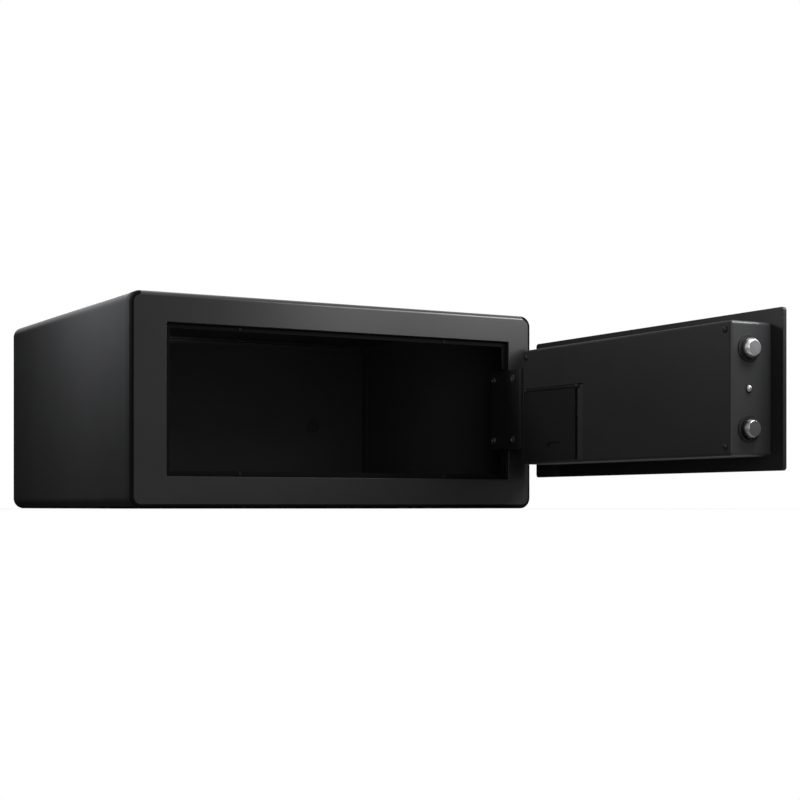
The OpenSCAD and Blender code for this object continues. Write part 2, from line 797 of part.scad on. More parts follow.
module switch_body() {
    color("#d8d2c0") on_door() difference() {
        block(switch_x, [door_t + guide_t, bolt_y + plunger_r + 4], [-7, 7]);
        translate([0, bolt_y, 0]) {
            rod_x(plunger_r + run_gap, switch_x[0] - 1, switch_x[0] + switch_mouth + eps);
            rod_x(plunger_r + 1 + seat_gap, switch_x[0] + switch_mouth, spring_end);
        }
    }
}

module door_switch_plunger() {
    dome = plunger_r;
    tip = casing_inset - plunger_proud;
    color("silver") on_door() translate([0, bolt_y, 0]) {
        intersection() {
            translate([tip + dome, 0, 0]) sphere(dome);
            rod_x(dome + 1, tip - 1, tip + dome);
        }
        rod_x(plunger_r, tip + dome, plunger_end);
        rod_x(plunger_r + 1, plunger_end - collar_t, plunger_end);
    }
}

// Tube along a helix: rings of six points
function coil_ring(i, per, r, pitch) = [for (k = [0:5]) let (
        a = 360 * i / per,
        out = r + spring_wire_r * cos(60 * k),
        up = pitch * i / per + spring_wire_r * sin(60 * k)) [up, out * cos(a), out * sin(a)]];

module coil(turns, r, pitch) {
    per = 12;
    rings = turns * per;
    points = [for (i = [0:rings]) each coil_ring(i, per, r, pitch)];
    sides = [for (i = [0:rings - 1], k = [0:5]) let (a = 6 * i + k, b = 6 * i + (k + 1) % 6)
        each [[a, a + 6, b + 6], [a, b + 6, b]]];
    ends = [[for (k = [0:5]) k], [for (k = [5:-1:0]) 6 * rings + k]];
    polyhedron(points, concat(sides, ends));
}

module plunger_spring() {
    room = spring_end - plunger_end - 2 * (spring_wire_r + washer_gap);
    color("silver") on_door() translate([plunger_end + spring_wire_r + washer_gap, bolt_y, 0])
        coil(spring_turns, plunger_r - 0.6, room / spring_turns);
}

// Battery compartment

hinge_barrel_r = 1.6;
cover_axis_y = cover_y - cover_t / 2;
cover_axis_z = window_z + cover_h - hinge_barrel_r - seat_gap;
cover_pin_r = 0.8;
lug_w = 3.4;
cell_pitch = 2 * cell_r + 2;
cell_x = window_x + (cover_w - (cell_count - 1) * cell_pitch) / 2 - 4;
cell_tip = 1.5;
contact_t = 0.5;
contact_spring = 4;
cell_room = cell_l + cell_tip + contact_spring + 2 * contact_t + 0.1;
tray_z = [window_z + tray_wall, window_z + tray_wall + cell_room];
cell_y = tray_y + tray_wall + cell_r + 0.3;
button_x = window_x + cover_w - 8;
button_z = window_z + 14;
button_r = 2.2;

module battery_tray() {
    inner_y = cover_y - casing_t;
    ledge_y = cover_y - cover_t - seat_gap;
    lap = 0.65 * (casing_r - casing_t);
    left = window_x - strip_w;
    right = window_x + cover_w;
    lugs = [window_x + seat_gap, right - seat_gap - lug_w];
    color("#1d1d1f") on_door() difference() {
        union() {
            // The flange lies flat behind the casing's face, clear of the casing's bent edges
            block([left - 3, right], [ledge_y - 2, inner_y], [window_z, window_z + cover_h + 3]);
            block([left - 3, right + 1 + lap], [ledge_y - 2, inner_y - casing_r + casing_t],
                [window_z - lap, window_z + cover_h + 3]);
            block([window_x, right - 1], [tray_y, ledge_y - 1], [window_z, tray_z[1] + tray_wall]);
        }
        difference() {
            block([left, right], [ledge_y, cover_y + 1], [window_z, window_z + cover_h]);
            for (x = lugs) translate([0, cover_axis_y, cover_axis_z]) lug(x);
        }
        block([lugs[0] + lug_w, lugs[1]], [cover_axis_y - hinge_barrel_r - seat_gap, cover_y],
            [cover_axis_z - hinge_barrel_r - seat_gap, window_z + cover_h]);
        block([window_x + tray_wall, right - 1 - tray_wall], [tray_y + tray_wall, ledge_y - 1], tray_z);
        block([window_x + 4, right - 5], [tray_y + tray_wall, ledge_y + 1], tray_z);
        for (x = lugs) translate([0, cover_axis_y, cover_axis_z])
            rod_x(cover_pin_r + run_gap, x - 1, x + lug_w + 1);
        translate([button_x, 0, button_z]) rod_y(button_r + run_gap, tray_y - 1, tray_y + tray_wall + 1);
    }
    color("#1d1d1f") on_door() difference() {
        for (x = lugs) translate([0, cover_axis_y, cover_axis_z]) lug(x);
        for (x = lugs) translate([0, cover_axis_y, cover_axis_z])
            rod_x(cover_pin_r + run_gap, x - 1, x + lug_w + 1);
    }
}

module lug(x) {
    rod_x(hinge_barrel_r, x, x + lug_w);
    block([x, x + lug_w], [-cover_t / 2 - seat_gap - eps, 0], [-hinge_barrel_r, hinge_barrel_r]);
}

module battery_cover_pins() {
    color("silver") on_door() translate([0, cover_axis_y, cover_axis_z]) {
        rod_x(cover_pin_r, window_x + 0.4, window_x + lug_w + 5);
        rod_x(cover_pin_r, window_x + cover_w - lug_w - 5, window_x + cover_w - 0.4);
    }
}

module battery_cover() {
    barrel = [window_x + lug_w + 0.8, window_x + cover_w - lug_w - 0.8];
    slot = [21, 5];
    slot_x = window_x + 3 / 7 * cover_w;
    slot_z = window_z + 3 * slot[1];
    color("#222326") on_door() difference() {
        union() {
            block([window_x + 0.3, window_x + cover_w - 0.3], [cover_y - cover_t, cover_y],
                [window_z + 0.3, cover_axis_z - hinge_barrel_r - 0.3]);
            block([barrel[0], barrel[1]], [cover_y - cover_t, cover_y],
                [cover_axis_z - hinge_barrel_r - 0.4, cover_axis_z]);
            translate([0, cover_axis_y, cover_axis_z]) rod_x(hinge_barrel_r, barrel[0], barrel[1]);
        }
        translate([0, cover_axis_y, cover_axis_z]) {
            rod_x(cover_pin_r + run_gap, barrel[0] - 1, barrel[0] + 6);
            rod_x(cover_pin_r + run_gap, barrel[1] - 6, barrel[1] + 1);
        }
        translate([slot_x, cover_y + 1, slot_z]) rotate([90, 0, 0]) linear_extrude(cover_t + 2)
            rounded(slot[0], slot[1], slot[1] / 2 - 0.01);
    }
}

module batteries() {
    color("#7d8790") on_door() for (i = [0:cell_count - 1]) {
        up = i % 2 == 0;
        low = tray_z[0] + contact_t + (up ? contact_spring : cell_tip + 0.1);
        translate([cell_x + i * cell_pitch, cell_y, low]) {
            cylinder(r = cell_r, h = cell_l);
            translate([0, 0, up ? cell_l - eps : -cell_tip]) cylinder(r = 2.7, h = cell_tip + eps);
        }
    }
}

module battery_contacts() {
    half = cell_r - 2;
    color("#c9c9c4") on_door() for (i = [0:cell_count - 1]) {
        up = i % 2 == 0;
        foot = up ? tray_z[0] + contact_t : tray_z[1] - contact_t;
        translate([cell_x + i * cell_pitch, cell_y, 0]) {
            block([-half, half], [-half, half], [tray_z[0], tray_z[0] + contact_t]);
            block([-half, half], [-half, half], [tray_z[1] - contact_t, tray_z[1]]);
            translate([0, 0, foot]) mirror([0, 0, up ? 0 : 1])
                cylinder(r1 = 4, r2 = 2.4, h = contact_spring - 0.1);
        }
    }
}

button_collar = 1.2;
button_travel = 1.5;
enrol_switch_d = seat_gap + button_collar + 2 * button_travel + 1.5;

module enrol_button() {
    color("#a02020") on_door() translate([button_x, 0, button_z]) {
        rod_y(button_r, tray_y - seat_gap - button_collar, tray_y + tray_wall + 2 * button_travel);
        rod_y(button_r + 1, tray_y - seat_gap - button_collar, tray_y - seat_gap);
    }
}

// Cup behind the tray that the button presses into
module enrol_switch() {
    half = button_r + 2.8;
    color("#1a1a1a") on_door() translate([button_x, 0, button_z]) difference() {
        block([-half, half], [tray_y - enrol_switch_d, tray_y], [-half, half]);
        rod_y(button_r + 1 + seat_gap, tray_y - enrol_switch_d + 1.5, tray_y + 1);
    }
}

// Electronics

board_w = 48;
board_left = 168;
board_x = [board_left, board_left + board_w];
board_y = door_t + 6;
board_t = 1.6;
board_half = 46;
board_screw_r = 1.5;
board_screw_inset = 4;
terminal_half = [4, 4.5];
terminal_x = board_x[0] + 2 * terminal_half[0];
terminal_z = [-34, -22, 22, 34];
terminal_h = 8;
capacitor_r = 4;
capacitor_h = 11;
crystal_r = 3;
crystal_h = 7;
chip_w = [14, 8];
chip_h = [14, 7];
chip_t = 1.8;
chip_x = board_x[0] + 16;
buzzer_r = 7;
buzzer_h = 8;

module control_board() {
    color("#1f5a35") on_door() difference() {
        block(board_x, [board_y, board_y + board_t], [-board_half, board_half]);
        board_screw_places() rod_y(board_screw_r + 0.1, board_y - 1, board_y + board_t + 1);
    }
}

module board_screw_places() {
    for (x = [board_x[0] + board_screw_inset, board_x[1] - board_screw_inset], z = [-1, 1])
        translate([x, 0, z * (board_half - board_screw_inset)]) children();
}

module board_standoffs() {
    head_h = 1.6;
    color("silver") on_door() board_screw_places() {
        rod_y(board_screw_r + 1.3, door_t, board_y);
        rod_y(board_screw_r, board_y - eps, board_y + board_t + eps);
        rod_y(board_screw_r + 1.3, board_y + board_t, board_y + board_t + head_h);
    }
}

module board_parts() {
    top = board_y + board_t;
    color("#2a2a2c") on_door() {
        for (i = [0, 1]) translate([chip_x, 0, -1.45 * chip_h[0] * i])
            block([0, chip_w[i]], [top, top + chip_t], [-chip_h[i] / 2, chip_h[i] / 2]);
        for (z = terminal_z) translate([terminal_x, 0, z])
            block([-terminal_half[0], terminal_half[0]], [top, top + terminal_h],
                [-terminal_half[1], terminal_half[1]]);
        for (z = [-8, -3.5]) translate([board_x[1] - 2 * capacitor_r, 0, z * capacitor_r])
            rod_y(capacitor_r, top, top + capacitor_h);
        translate([board_x[1] - 3 * crystal_r, 0, 3 * crystal_r]) rod_y(crystal_r, top, top + crystal_h);
    }
}

module buzzer() {
    top = board_y + board_t;
    color("#151515") on_door() translate([board_x[1] - buzzer_r - 5, 0, 3.7 * buzzer_r]) difference() {
        rod_y(buzzer_r, top, top + buzzer_h);
        rod_y(buzzer_r / 7, top + buzzer_h - 3, top + buzzer_h + 1);
    }
}

// Outer face

window_half = [9, 11];
window_y = -reader_d + 5;
window_t = 1.4;

module reader_housing() {
    round_r = 5;
    color("#101012") on_door() translate([reader_x, 0, 0]) difference() {
        translate([0, -reader_d, 0]) upright() {
            rim(reader_w, reader_h, 12) {
                intersection() {
                    translate([12 - round_r, round_r]) circle(round_r);
                    translate([12 - round_r, 0]) square(round_r);
                }
                square([12 - round_r, reader_d]);
                translate([0, round_r]) square([12, reader_d - round_r]);
            }
            linear_extrude(reader_d) square([reader_w - 24, reader_h - 24], center = true);
        }
        translate([4, -reader_d - 14, 0]) sphere(18.5, $fn = 96);
        translate([4, 0, 0]) block([-window_half[0], window_half[0]], [-reader_d - 1, window_y + window_t],
            [-window_half[1], window_half[1]]);
        translate([4, 0, 0]) block([-window_half[0] + 1.5, window_half[0] - 1.5], [window_y, 1],
            [-window_half[1] + 1.5, window_half[1] - 1.5]);
        lens_places() rod_y(lens_r + run_gap, -reader_d - 1, -reader_d + 4);
    }
}

lens_r = 1.8;

module lens_places() {
    for (z = [-10, 0, 10]) translate([-reader_w / 2 + 9, 0, z]) children();
}

module reader_window() {
    color("#203040", 0.8) on_door() translate([reader_x + 4, 0, 0])
        block([-window_half[0] + 0.1, window_half[0] - 0.1], [window_y + 0.02, window_y + window_t],
            [-window_half[1] + 0.1, window_half[1] - 0.1]);
}

module indicator_lenses() {
    dome_r = 4;
    color("#d0d4d8") on_door() translate([reader_x, -reader_d, 0]) lens_places() intersection() {
        rod_y(lens_r, -1, 4);
        translate([0, dome_r - 0.8, 0]) sphere(dome_r);
    }
}

module reader_module() {
    color("#1f5a35") on_door() translate([reader_x, 0, 0]) {
        block([-14, 14], [door_t, door_t + 1.6], [-14, 14]);
        block([-7, 7], [door_t + 1.6, door_t + 4], [-7, 7]);
        block([-5, 5], [door_t + 1.6, door_t + 5], [8.5, 13.5]);
    }
}

knob_stud_r = 3;

module door_pull() {
    grip = 10;
    color("#b9bcc0") on_door() translate([knob_x, 0, 0]) rotate([90, 0, 0]) {
        rotate_extrude() {
            square([knob_r * 0.55, knob_l - grip]);
            translate([0, 0]) square([knob_r * 0.8, 2]);
            translate([0, knob_l - grip]) difference() {
                square([knob_r, grip]);
                translate([knob_r - 2, grip - 2]) difference() {
                    square(3);
                    circle(2);
                }
            }
        }
        translate([0, 0, -door_t - 6]) cylinder(r = knob_stud_r, h = door_t + 6 + eps);
    }
}

module pull_nut() {
    color("silver") on_door() translate([knob_x, door_t, 0]) rotate([-90, 0, 0]) difference() {
        cylinder(r = 6, h = 4.5, $fn = 6);
        translate([0, 0, -1]) cylinder(r = knob_stud_r + run_gap, h = 7);
    }
}

barrel_l = 26;
cam_t = 2.5;

module key_barrel() {
    color("#b9bcc0") on_door() translate([key_x, 0, key_z]) difference() {
        union() {
            rod_y(barrel_r, -eps, barrel_l);
            rod_y(barrel_r + 2.5, -3, 0);
        }
        rod_y(plug_r + run_gap, -4, barrel_l + 1);
    }
}

module key_nut() {
    color("silver") on_door() translate([key_x, door_t, key_z]) rotate([-90, 0, 0]) difference() {
        cylinder(r = barrel_r + 4.5, h = 4, $fn = 6);
        translate([0, 0, -1]) cylinder(r = barrel_r + run_gap, h = 6);
    }
}

module key_plug() {
    cam_l = 20;
    color("#c9c9c4") on_door() translate([key_x, 0, key_z]) difference() {
        union() {
            rod_y(plug_r, -2.6, barrel_l + 0.5 + cam_t);
            block([-cam_l, 0], [barrel_l + 0.5, barrel_l + 0.5 + cam_t], [-4, 4]);
            translate([-cam_l, 0, 0]) rod_y(4, barrel_l + 0.5, barrel_l + 0.5 + cam_t);
        }
        block([-0.7, 0.7], [-4, 16], [-4, 4]);
    }
}

key_pin_r = 2;

module key_cover_pin() {
    color("silver") on_door() translate([key_x, 0, key_pin_z]) {
        rod_y(key_pin_r, -7.2, door_t);
        rod_y(key_pin_r + 1.8, -8.4, -7.2);
        rod_y(key_pin_r + 1.8, -4, 0);
    }
}

module key_cover() {
    drop = key_pin_z - key_z;
    color("#b9bcc0") on_door() translate([key_x, 0, key_z]) difference() {
        union() {
            rod_y(key_cover_r, -7, -4.2);
            translate([0, 0, drop]) rod_y(5.5, -7, -4.2);
            block([-5.5, 5.5], [-7, -4.2], [0, drop]);
        }
        translate([0, 0, drop]) rod_y(key_pin_r + run_gap, -8, -3);
    }
}

// Leads from the motor, the reader, both switches and the batteries to the board's terminals
module wiring() {
    r = 0.9;
    spread = 10;
    x = terminal_x;
    side = board_x[0] - 4;
    top = board_y + board_t + terminal_h;
    over = top + 4.4;
    near = door_t + 4;
    motor_end = motor_z + gearbox_l + motor_l;
    switch_lead = [switch_x[1], near + 4, -4];
    color("#303030") on_door() {
        lead([[pinion_x + 6, pinion_y, motor_end], [pinion_x + 6, pinion_y, motor_end + 4],
            [side - 4, over, motor_end + 4], [x, over, terminal_z[3]], [x, top, terminal_z[3]]], r);
        lead([[reader_x, door_t + 5, 11], [reader_x, near + 4, 11], [reader_x + 4, near, 50],
            [side, near, 50], [side, over, terminal_z[2]], [x, over, terminal_z[2]],
            [x, top, terminal_z[2]]], r);
        lead([switch_lead, switch_lead + [30, 0, 0], [pinion_x - 16, near + 4, -12], [side, near + 4, -12],
            [side, over, terminal_z[1]], [x, over, terminal_z[1]], [x, top, terminal_z[1]]], r);
        lead([[window_x, over + 8, terminal_z[0] + 6], [window_x - 6, over + 8, terminal_z[0] + 6],
            [x + spread, over + 2, terminal_z[0]], [x, over, terminal_z[0]], [x, top, terminal_z[0]]], r);
        lead([[button_x - button_r - 2.8, tray_y - 3, button_z], [x + spread, tray_y - 3, button_z],
            [x + spread, over, terminal_z[1] + 3], [x, over, terminal_z[1] + 3],
            [x, top, terminal_z[1] + 3]], r);
    }
}

body_shell();
front_frame();
door_stop();
door_bumpers();
back_panel();
floor_mat();
strike_plate();
hinge_bracket();
hinge_pin();
hinge_washers();
door_plate();
inner_cover();
cover_posts();
inner_cover_screws();
hinge_leaf();
hinge_arm();
hinge_screws();
hinge_studs();
bolt_guide();
bolt_bushes();
drive_motor();
motor_bracket();
motor_screws();
control_board();
board_parts();
board_standoffs();
buzzer();
reader_housing();
reader_window();
reader_module();
indicator_lenses();
door_pull();
pull_nut();
key_barrel();
key_nut();
key_cover_pin();
battery_tray();
batteries();
battery_contacts();
battery_cover_pins();
enrol_switch();
switch_body();
plunger_spring();
wiring();
locking_bolt_upper();
locking_bolt_lower();
bolt_carriage();
bolt_screws();
drive_pinion();
motor_shaft();
door_switch_plunger();
battery_cover();
enrol_button();
key_cover();
key_plug();
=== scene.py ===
# %% [markdown]
# # A low steel safe with its door open
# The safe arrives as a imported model: every plate, bolt and screw is a node that already has its real
# size and place. This lesson dresses it. Sheet metal gets its folded and rounded edges, turned parts
# get a lathe profile, and every surface gets a finish that is worked out by nodes.
# %% Load the frame
import json
import math

import bmesh
import bpy
from mathutils import Matrix, Vector


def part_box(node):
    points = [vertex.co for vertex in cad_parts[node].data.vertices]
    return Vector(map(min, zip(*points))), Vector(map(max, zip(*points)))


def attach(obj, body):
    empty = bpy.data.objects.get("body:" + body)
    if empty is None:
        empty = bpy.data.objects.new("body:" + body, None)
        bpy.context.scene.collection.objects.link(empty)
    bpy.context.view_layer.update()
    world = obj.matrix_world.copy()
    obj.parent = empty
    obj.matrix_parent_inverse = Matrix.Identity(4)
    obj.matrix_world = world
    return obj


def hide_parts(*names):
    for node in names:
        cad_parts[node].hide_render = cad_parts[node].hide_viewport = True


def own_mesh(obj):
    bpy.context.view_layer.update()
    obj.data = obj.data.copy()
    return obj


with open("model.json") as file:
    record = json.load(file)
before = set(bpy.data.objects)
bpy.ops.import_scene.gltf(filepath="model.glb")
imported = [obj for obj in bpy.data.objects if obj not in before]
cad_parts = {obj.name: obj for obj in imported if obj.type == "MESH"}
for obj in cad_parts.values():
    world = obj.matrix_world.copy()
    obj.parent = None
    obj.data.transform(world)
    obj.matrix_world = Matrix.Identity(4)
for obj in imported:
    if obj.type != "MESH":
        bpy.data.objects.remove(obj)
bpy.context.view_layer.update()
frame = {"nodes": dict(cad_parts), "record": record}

scene = bpy.context.scene

# %% [markdown]
# ## The camera
# The photograph was taken almost from the height of the base, turned about thirty degrees to the
# left of the safe, with the picture plane upright. A camera that looks level and is shifted in its
# frame keeps every upright edge of the safe upright in the picture, as a view camera does.
# %% Stand the camera
PHOTO_W = 800
FOCAL_PX = 1633.3
HORIZON_PX = 507.4
TURN = 0.516
CAMERA_AT = (-0.7396, -1.5997, 0.001)


def placed(name, data):
    """An object of that data, in the scene"""
    made = bpy.data.objects.new(name, data)
    scene.collection.objects.link(made)
    return made


camera_data = bpy.data.cameras.new("view_camera")
camera_data.sensor_width = 36.0
camera_data.lens = FOCAL_PX / PHOTO_W * camera_data.sensor_width
camera_data.shift_y = (HORIZON_PX - PHOTO_W / 2) / PHOTO_W
camera_data.clip_start = 0.01
camera_data.clip_end = 60.0
camera = placed("view_camera", camera_data)
camera.location = CAMERA_AT
camera.rotation_euler = (math.pi / 2, 0.0, -TURN)
scene.camera = camera
scene.view_settings.view_transform = "Standard"
print("lens", round(camera_data.lens, 1), "mm, shift", round(camera_data.shift_y, 3))

# %% [markdown]
# ## Shader maths as plain expressions
# A finish is a small program made of nodes. Wrapping an output socket in a class that knows the
# arithmetic signs lets that program be written as an expression, and one method adds every other
# kind of node. The world's light is such a tree too.
# %% Sockets that can be added and multiplied
def sign(operation, reflected=False):
    """A method that puts a socket and another value through one maths node"""

    def method(self, other):
        first, second = (other, self) if reflected else (self, other)
        return self.recipe.node("Math", {"operation": operation}, {0: first, 1: second})

    return method


class Wire:
    """One output of a node, ready for arithmetic"""

    def __init__(self, recipe, socket):
        self.recipe = recipe
        self.socket = socket

    __add__, __radd__ = sign("ADD"), sign("ADD", True)
    __sub__, __rsub__ = sign("SUBTRACT"), sign("SUBTRACT", True)
    __mul__, __rmul__ = sign("MULTIPLY"), sign("MULTIPLY", True)
    __lt__ = sign("LESS_THAN")
    at_least = sign("MAXIMUM")


class Recipe:
    """A tree of nodes with one output, and one method that adds any other node"""

    def __init__(self, tree, output):
        self.tree = tree
        tree.nodes.clear()
        self.output = tree.nodes.new("ShaderNodeOutput" + output)

    def feed(self, socket, value):
        if isinstance(value, Wire):
            self.tree.links.new(value.socket, socket)
        else:
            socket.default_value = value

    def node(self, kind, settings=(), inputs=(), out=0):
        made = self.tree.nodes.new("ShaderNode" + kind)
        for key, value in dict(settings).items():
            setattr(made, key, value)
        for key, value in dict(inputs).items():
            self.feed(made.inputs[key], value)
        return Wire(self, made.outputs[out])

    def ray(self, kind):
        """1 for light rays of that kind, 0 for the others"""
        return self.node("LightPath", out="Is " + kind + " Ray")

    def show(self, wire):
        self.feed(self.output.inputs["Surface"], wire)


class Finish(Recipe):
    """A material: its main shader, and the patterns that the finishes share"""

    def __init__(self, name, slot):
        self.material = bpy.data.materials.new(name)
        self.material.use_nodes = True
        self.slot = slot
        super().__init__(self.material.node_tree, "Material")
        self.shader = self.tree.nodes.new("ShaderNodeBsdfPrincipled")
        self.show(Wire(self, self.shader.outputs[0]))

    def surface(self, **inputs):
        for key, value in inputs.items():
            self.feed(self.shader.inputs[key.replace("_", " ").title().replace("Ior", "IOR")], value)

    def place(self, centre=(0.0, 0.0, 0.0), turn=(0.0, 0.0, 0.0), scale=(1.0, 1.0, 1.0)):
        """Object coordinates about a centre"""
        here = self.node("TexCoord", out="Object")
        shifted = self.node("Mapping", {}, {"Vector": here, "Location": [-c for c in centre]})
        return self.node("Mapping", {}, {"Vector": shifted, "Rotation": turn, "Scale": scale})

    def grain(self, scale, detail=2.0, rough=0.5, where=None):
        """Noise from 0 to 1, with about that many grains in a metre"""
        inputs = {"Vector": where or self.place(), "Scale": scale, "Detail": detail, "Roughness": rough}
        return self.node("TexNoise", {}, inputs)

    def blend(self, amount, first, second):
        """From the first colour to the second"""
        inputs = {"Factor": amount, 6: (*first, 1.0), 7: (*second, 1.0)}
        return self.node("Mix", {"data_type": "RGBA"}, inputs, out=2)

    def bump(self, height, depth, strength, **over):
        """A bump, which can lie over another one that is given as its Normal"""
        return self.node("Bump", {}, {"Height": height, "Distance": depth, "Strength": strength, **over})


print("shader maths is ready")

# %% [markdown]
# ## Powder coat
# The body is sprayed with black powder and baked. The film isn't flat: it has an orange-peel swell
# of about two millimetres and a much finer grain, and both are what breaks up its reflections. The
# colour hardly changes, so the detail goes into roughness and bump. Along a top edge, where a cloth
# and hands wipe the paint, a narrow band of heights gets a clear coat and shines more.
# %% Black powder coat
def shade(colour, amount):
    return tuple(min(1.0, part * amount) for part in colour)


def powder_coat(name, slot, colour, roughness, gloss=0.5, peel=0.00003, grit=0.000012, wiped=None, shine=0.0):
    """Powder coat, which shines more in a band of heights if one is given"""
    finish = Finish(name + "_powder_coat", slot)
    swell = finish.grain(420.0, 2.0)
    fine = finish.grain(2600.0, 3.0, 0.6)
    cloud = finish.grain(14.0, 4.0, 0.6)
    handled = finish.grain(55.0, 5.0, 0.7)
    tone = cloud * 0.7 + fine * 0.3
    if wiped is not None:
        height = finish.node("SeparateXYZ", {}, {"Vector": finish.place()}, out="Z")
        rise = finish.node("MapRange", {}, {"Value": height, "From Min": wiped[0], "From Max": wiped[1]})
        fall = finish.node("MapRange", {}, {"Value": height, "From Min": wiped[2], "From Max": wiped[3]})
        finish.surface(coat_weight=(rise - fall) * shine + 0.06 * fall, coat_roughness=0.28)
    finish.surface(
        base_color=finish.blend(tone, shade(colour, 0.82), shade(colour, 1.2)),
        roughness=roughness - 0.05 + 0.06 * cloud + 0.05 * handled,
        specular_ior_level=gloss,
        normal=finish.bump(fine, grit, 0.7, Normal=finish.bump(swell, peel, 0.8)),
    )
    return finish


body_paint = powder_coat("body", "body_paint", (0.0155, 0.0157, 0.0163), 0.6, 0.0,
                         wiped=(0.1915, 0.1965, 0.1985, 0.1998), shine=0.5)
frame_paint = powder_coat("frame", "frame_paint", (0.0135, 0.0137, 0.0143), 0.34, 0.16,
                          wiped=(0.1955, 0.197, 0.1999, 0.2), shine=0.8)
# A near-black matt copy of the frame paint for the roll at the front's edge: painted shade.
rim_shade_paint = powder_coat("rim", "frame_paint", (0.006, 0.006, 0.0063), 0.7, 0.0)
side_paint = powder_coat("side", "frame_paint", (0.0135, 0.0137, 0.0143), 0.6, 0.0)
# A darker, less glossy copy of the frame paint for the door plate: painted shade.
door_shade_paint = powder_coat("door", "frame_paint", (0.009, 0.0092, 0.0096), 0.4, 0.06)
# A darker copy of the frame paint for the hinge parts: painted shade.
hinge_shade_paint = powder_coat("hinge", "frame_paint", (0.0085, 0.0085, 0.0088), 0.5, 0.05)
# A near-black copy of the casing paint for the stop lip and strike plate: painted shade.
lip_shade_paint = powder_coat("lip", "casing_paint", (0.004, 0.004, 0.0042), 0.6, 0.02)
casing_paint = powder_coat("casing", "casing_paint", (0.0095, 0.0097, 0.0101), 0.46, 0.05)
# A darker copy of the casing paint for the battery cover: painted shade.
flap_shade_paint = powder_coat("flap", "casing_paint", (0.0055, 0.0056, 0.0058), 0.5, 0.03)
print("paints:", body_paint.material.name, frame_paint.material.name, casing_paint.material.name)

# %% [markdown]
# ## Bright metals
# The bolts and screws are turned and then plated. Turning leaves fine rings round the axis, so the
# pattern has to be centred on each part's own axis. Folded brackets are rolled sheet, whose grain
# runs one way only, which a noise that is stretched along one axis gives.
# %% Turned, rolled and cast metals
def turned_steel(name, centre, slot="bright_steel", colour=(0.24, 0.24, 0.25), roughness=0.22, rings="Y"):
    finish = Finish(name, slot)
    waves = finish.node(
        "TexWave",
        {"wave_type": "RINGS", "rings_direction": rings},
        {"Vector": finish.place(centre), "Scale": 1500.0, "Distortion": 0.6, "Detail": 2.0},
    )
    cloud = finish.grain(180.0, 4.0, 0.6)
    finish.surface(
        base_color=finish.blend(cloud, shade(colour, 0.86), shade(colour, 1.08)),
        metallic=1.0,
        roughness=roughness - 0.04 + 0.12 * cloud,
        normal=finish.bump(waves, 0.000004, 0.5),
    )
    return finish


def rolled_sheet(name, slot, colour, roughness, stretch=0.4):
    finish = Finish(name, slot)
    streaks = finish.grain(2200.0, 3.0, 0.6, finish.place(scale=(1.0, 1.0, stretch)))
    spots = {"Vector": finish.place(), "Scale": 190.0}
    spangle = finish.node("TexVoronoi", {"feature": "F1"}, spots, out="Color")
    tint = finish.node("SeparateColor", {}, {"Color": spangle})
    finish.surface(
        base_color=finish.blend(tint * 0.6 + streaks * 0.4, shade(colour, 0.82), shade(colour, 1.1)),
        metallic=1.0,
        roughness=roughness - 0.06 + 0.14 * streaks,
        normal=finish.bump(streaks, 0.000005, 0.5),
    )
    return finish


bright_steel = rolled_sheet("bright_zinc", "bright_steel", (0.55, 0.56, 0.58), 0.24)
black_oxide = rolled_sheet("black_oxide", "bright_steel", (0.012, 0.012, 0.013), 0.5)
dull_zinc = rolled_sheet("dull_zinc", "bright_steel", (0.12, 0.12, 0.125), 0.36)
sheet_zinc = rolled_sheet("zinc_sheet", "sheet_zinc", (0.56, 0.57, 0.59), 0.3, 0.03)
print("metals:", bright_steel.material.name, sheet_zinc.material.name)

# %% [markdown]
# ## Plastics, rubber and felt
# A moulded part carries the spark texture of its mould, which is a soft bump a third of a millimetre
# across. Rubber is rougher and has no gloss. Felt is a mat of fibres: stretched noise in two
# directions gives the fibres, and a little sheen gives the pale edge that cloth shows from the side.
# %% Moulded and woven finishes
def moulded(name, slot, colour, roughness, texture=0.00002, coat=0.0, gloss=0.5):
    finish = Finish(name, slot)
    spark = finish.grain(3000.0, 2.0, 0.5)
    cloud = finish.grain(40.0, 4.0, 0.6)
    finish.surface(
        base_color=finish.blend(cloud, shade(colour, 0.85), shade(colour, 1.15)),
        roughness=roughness - 0.04 + 0.08 * cloud,
        specular_ior_level=gloss,
        coat_weight=coat,
        coat_roughness=0.08,
        normal=finish.bump(spark, texture, 0.7),
    )
    return finish


black_plastic = moulded("black_moulding", "black_plastic", (0.009, 0.009, 0.0095), 0.55, gloss=0.1)
gloss_black = moulded("gloss_moulding", "gloss_black", (0.009, 0.009, 0.01), 0.2, 0.000006, 0.6)
white_plastic = moulded("acetal", "white_plastic", (0.62, 0.59, 0.52), 0.42)
rubber = moulded("rubber", "rubber", (0.009, 0.009, 0.009), 0.8, 0.00005, gloss=0.08)
button_red = moulded("red_moulding", "button_red", (0.4, 0.025, 0.025), 0.3, 0.000006, 0.4)
cable_black = moulded("lead_insulation", "cable_black", (0.03, 0.03, 0.03), 0.55)

FELT_GREY = (0.02, 0.02, 0.022)
mat_felt = Finish("needled_felt", "mat_felt")
fibres = mat_felt.grain(900.0, 6.0, 0.75, mat_felt.place(scale=(1.0, 0.25, 1.0)))
across = mat_felt.grain(900.0, 6.0, 0.75, mat_felt.place(turn=(0.0, 0.0, 1.0), scale=(0.25, 1.0, 1.0)))
tufts = mat_felt.grain(160.0, 5.0, 0.7)
pile = fibres * 0.4 + across * 0.4 + tufts * 0.2
mat_felt.surface(
    base_color=mat_felt.blend(pile, shade(FELT_GREY, 0.45), shade(FELT_GREY, 1.7)),
    roughness=0.95,
    specular_ior_level=0.1,
    sheen_weight=0.35,
    sheen_roughness=0.6,
    normal=mat_felt.bump(pile, 0.0005, 0.9),
)
print("soft finishes are ready")

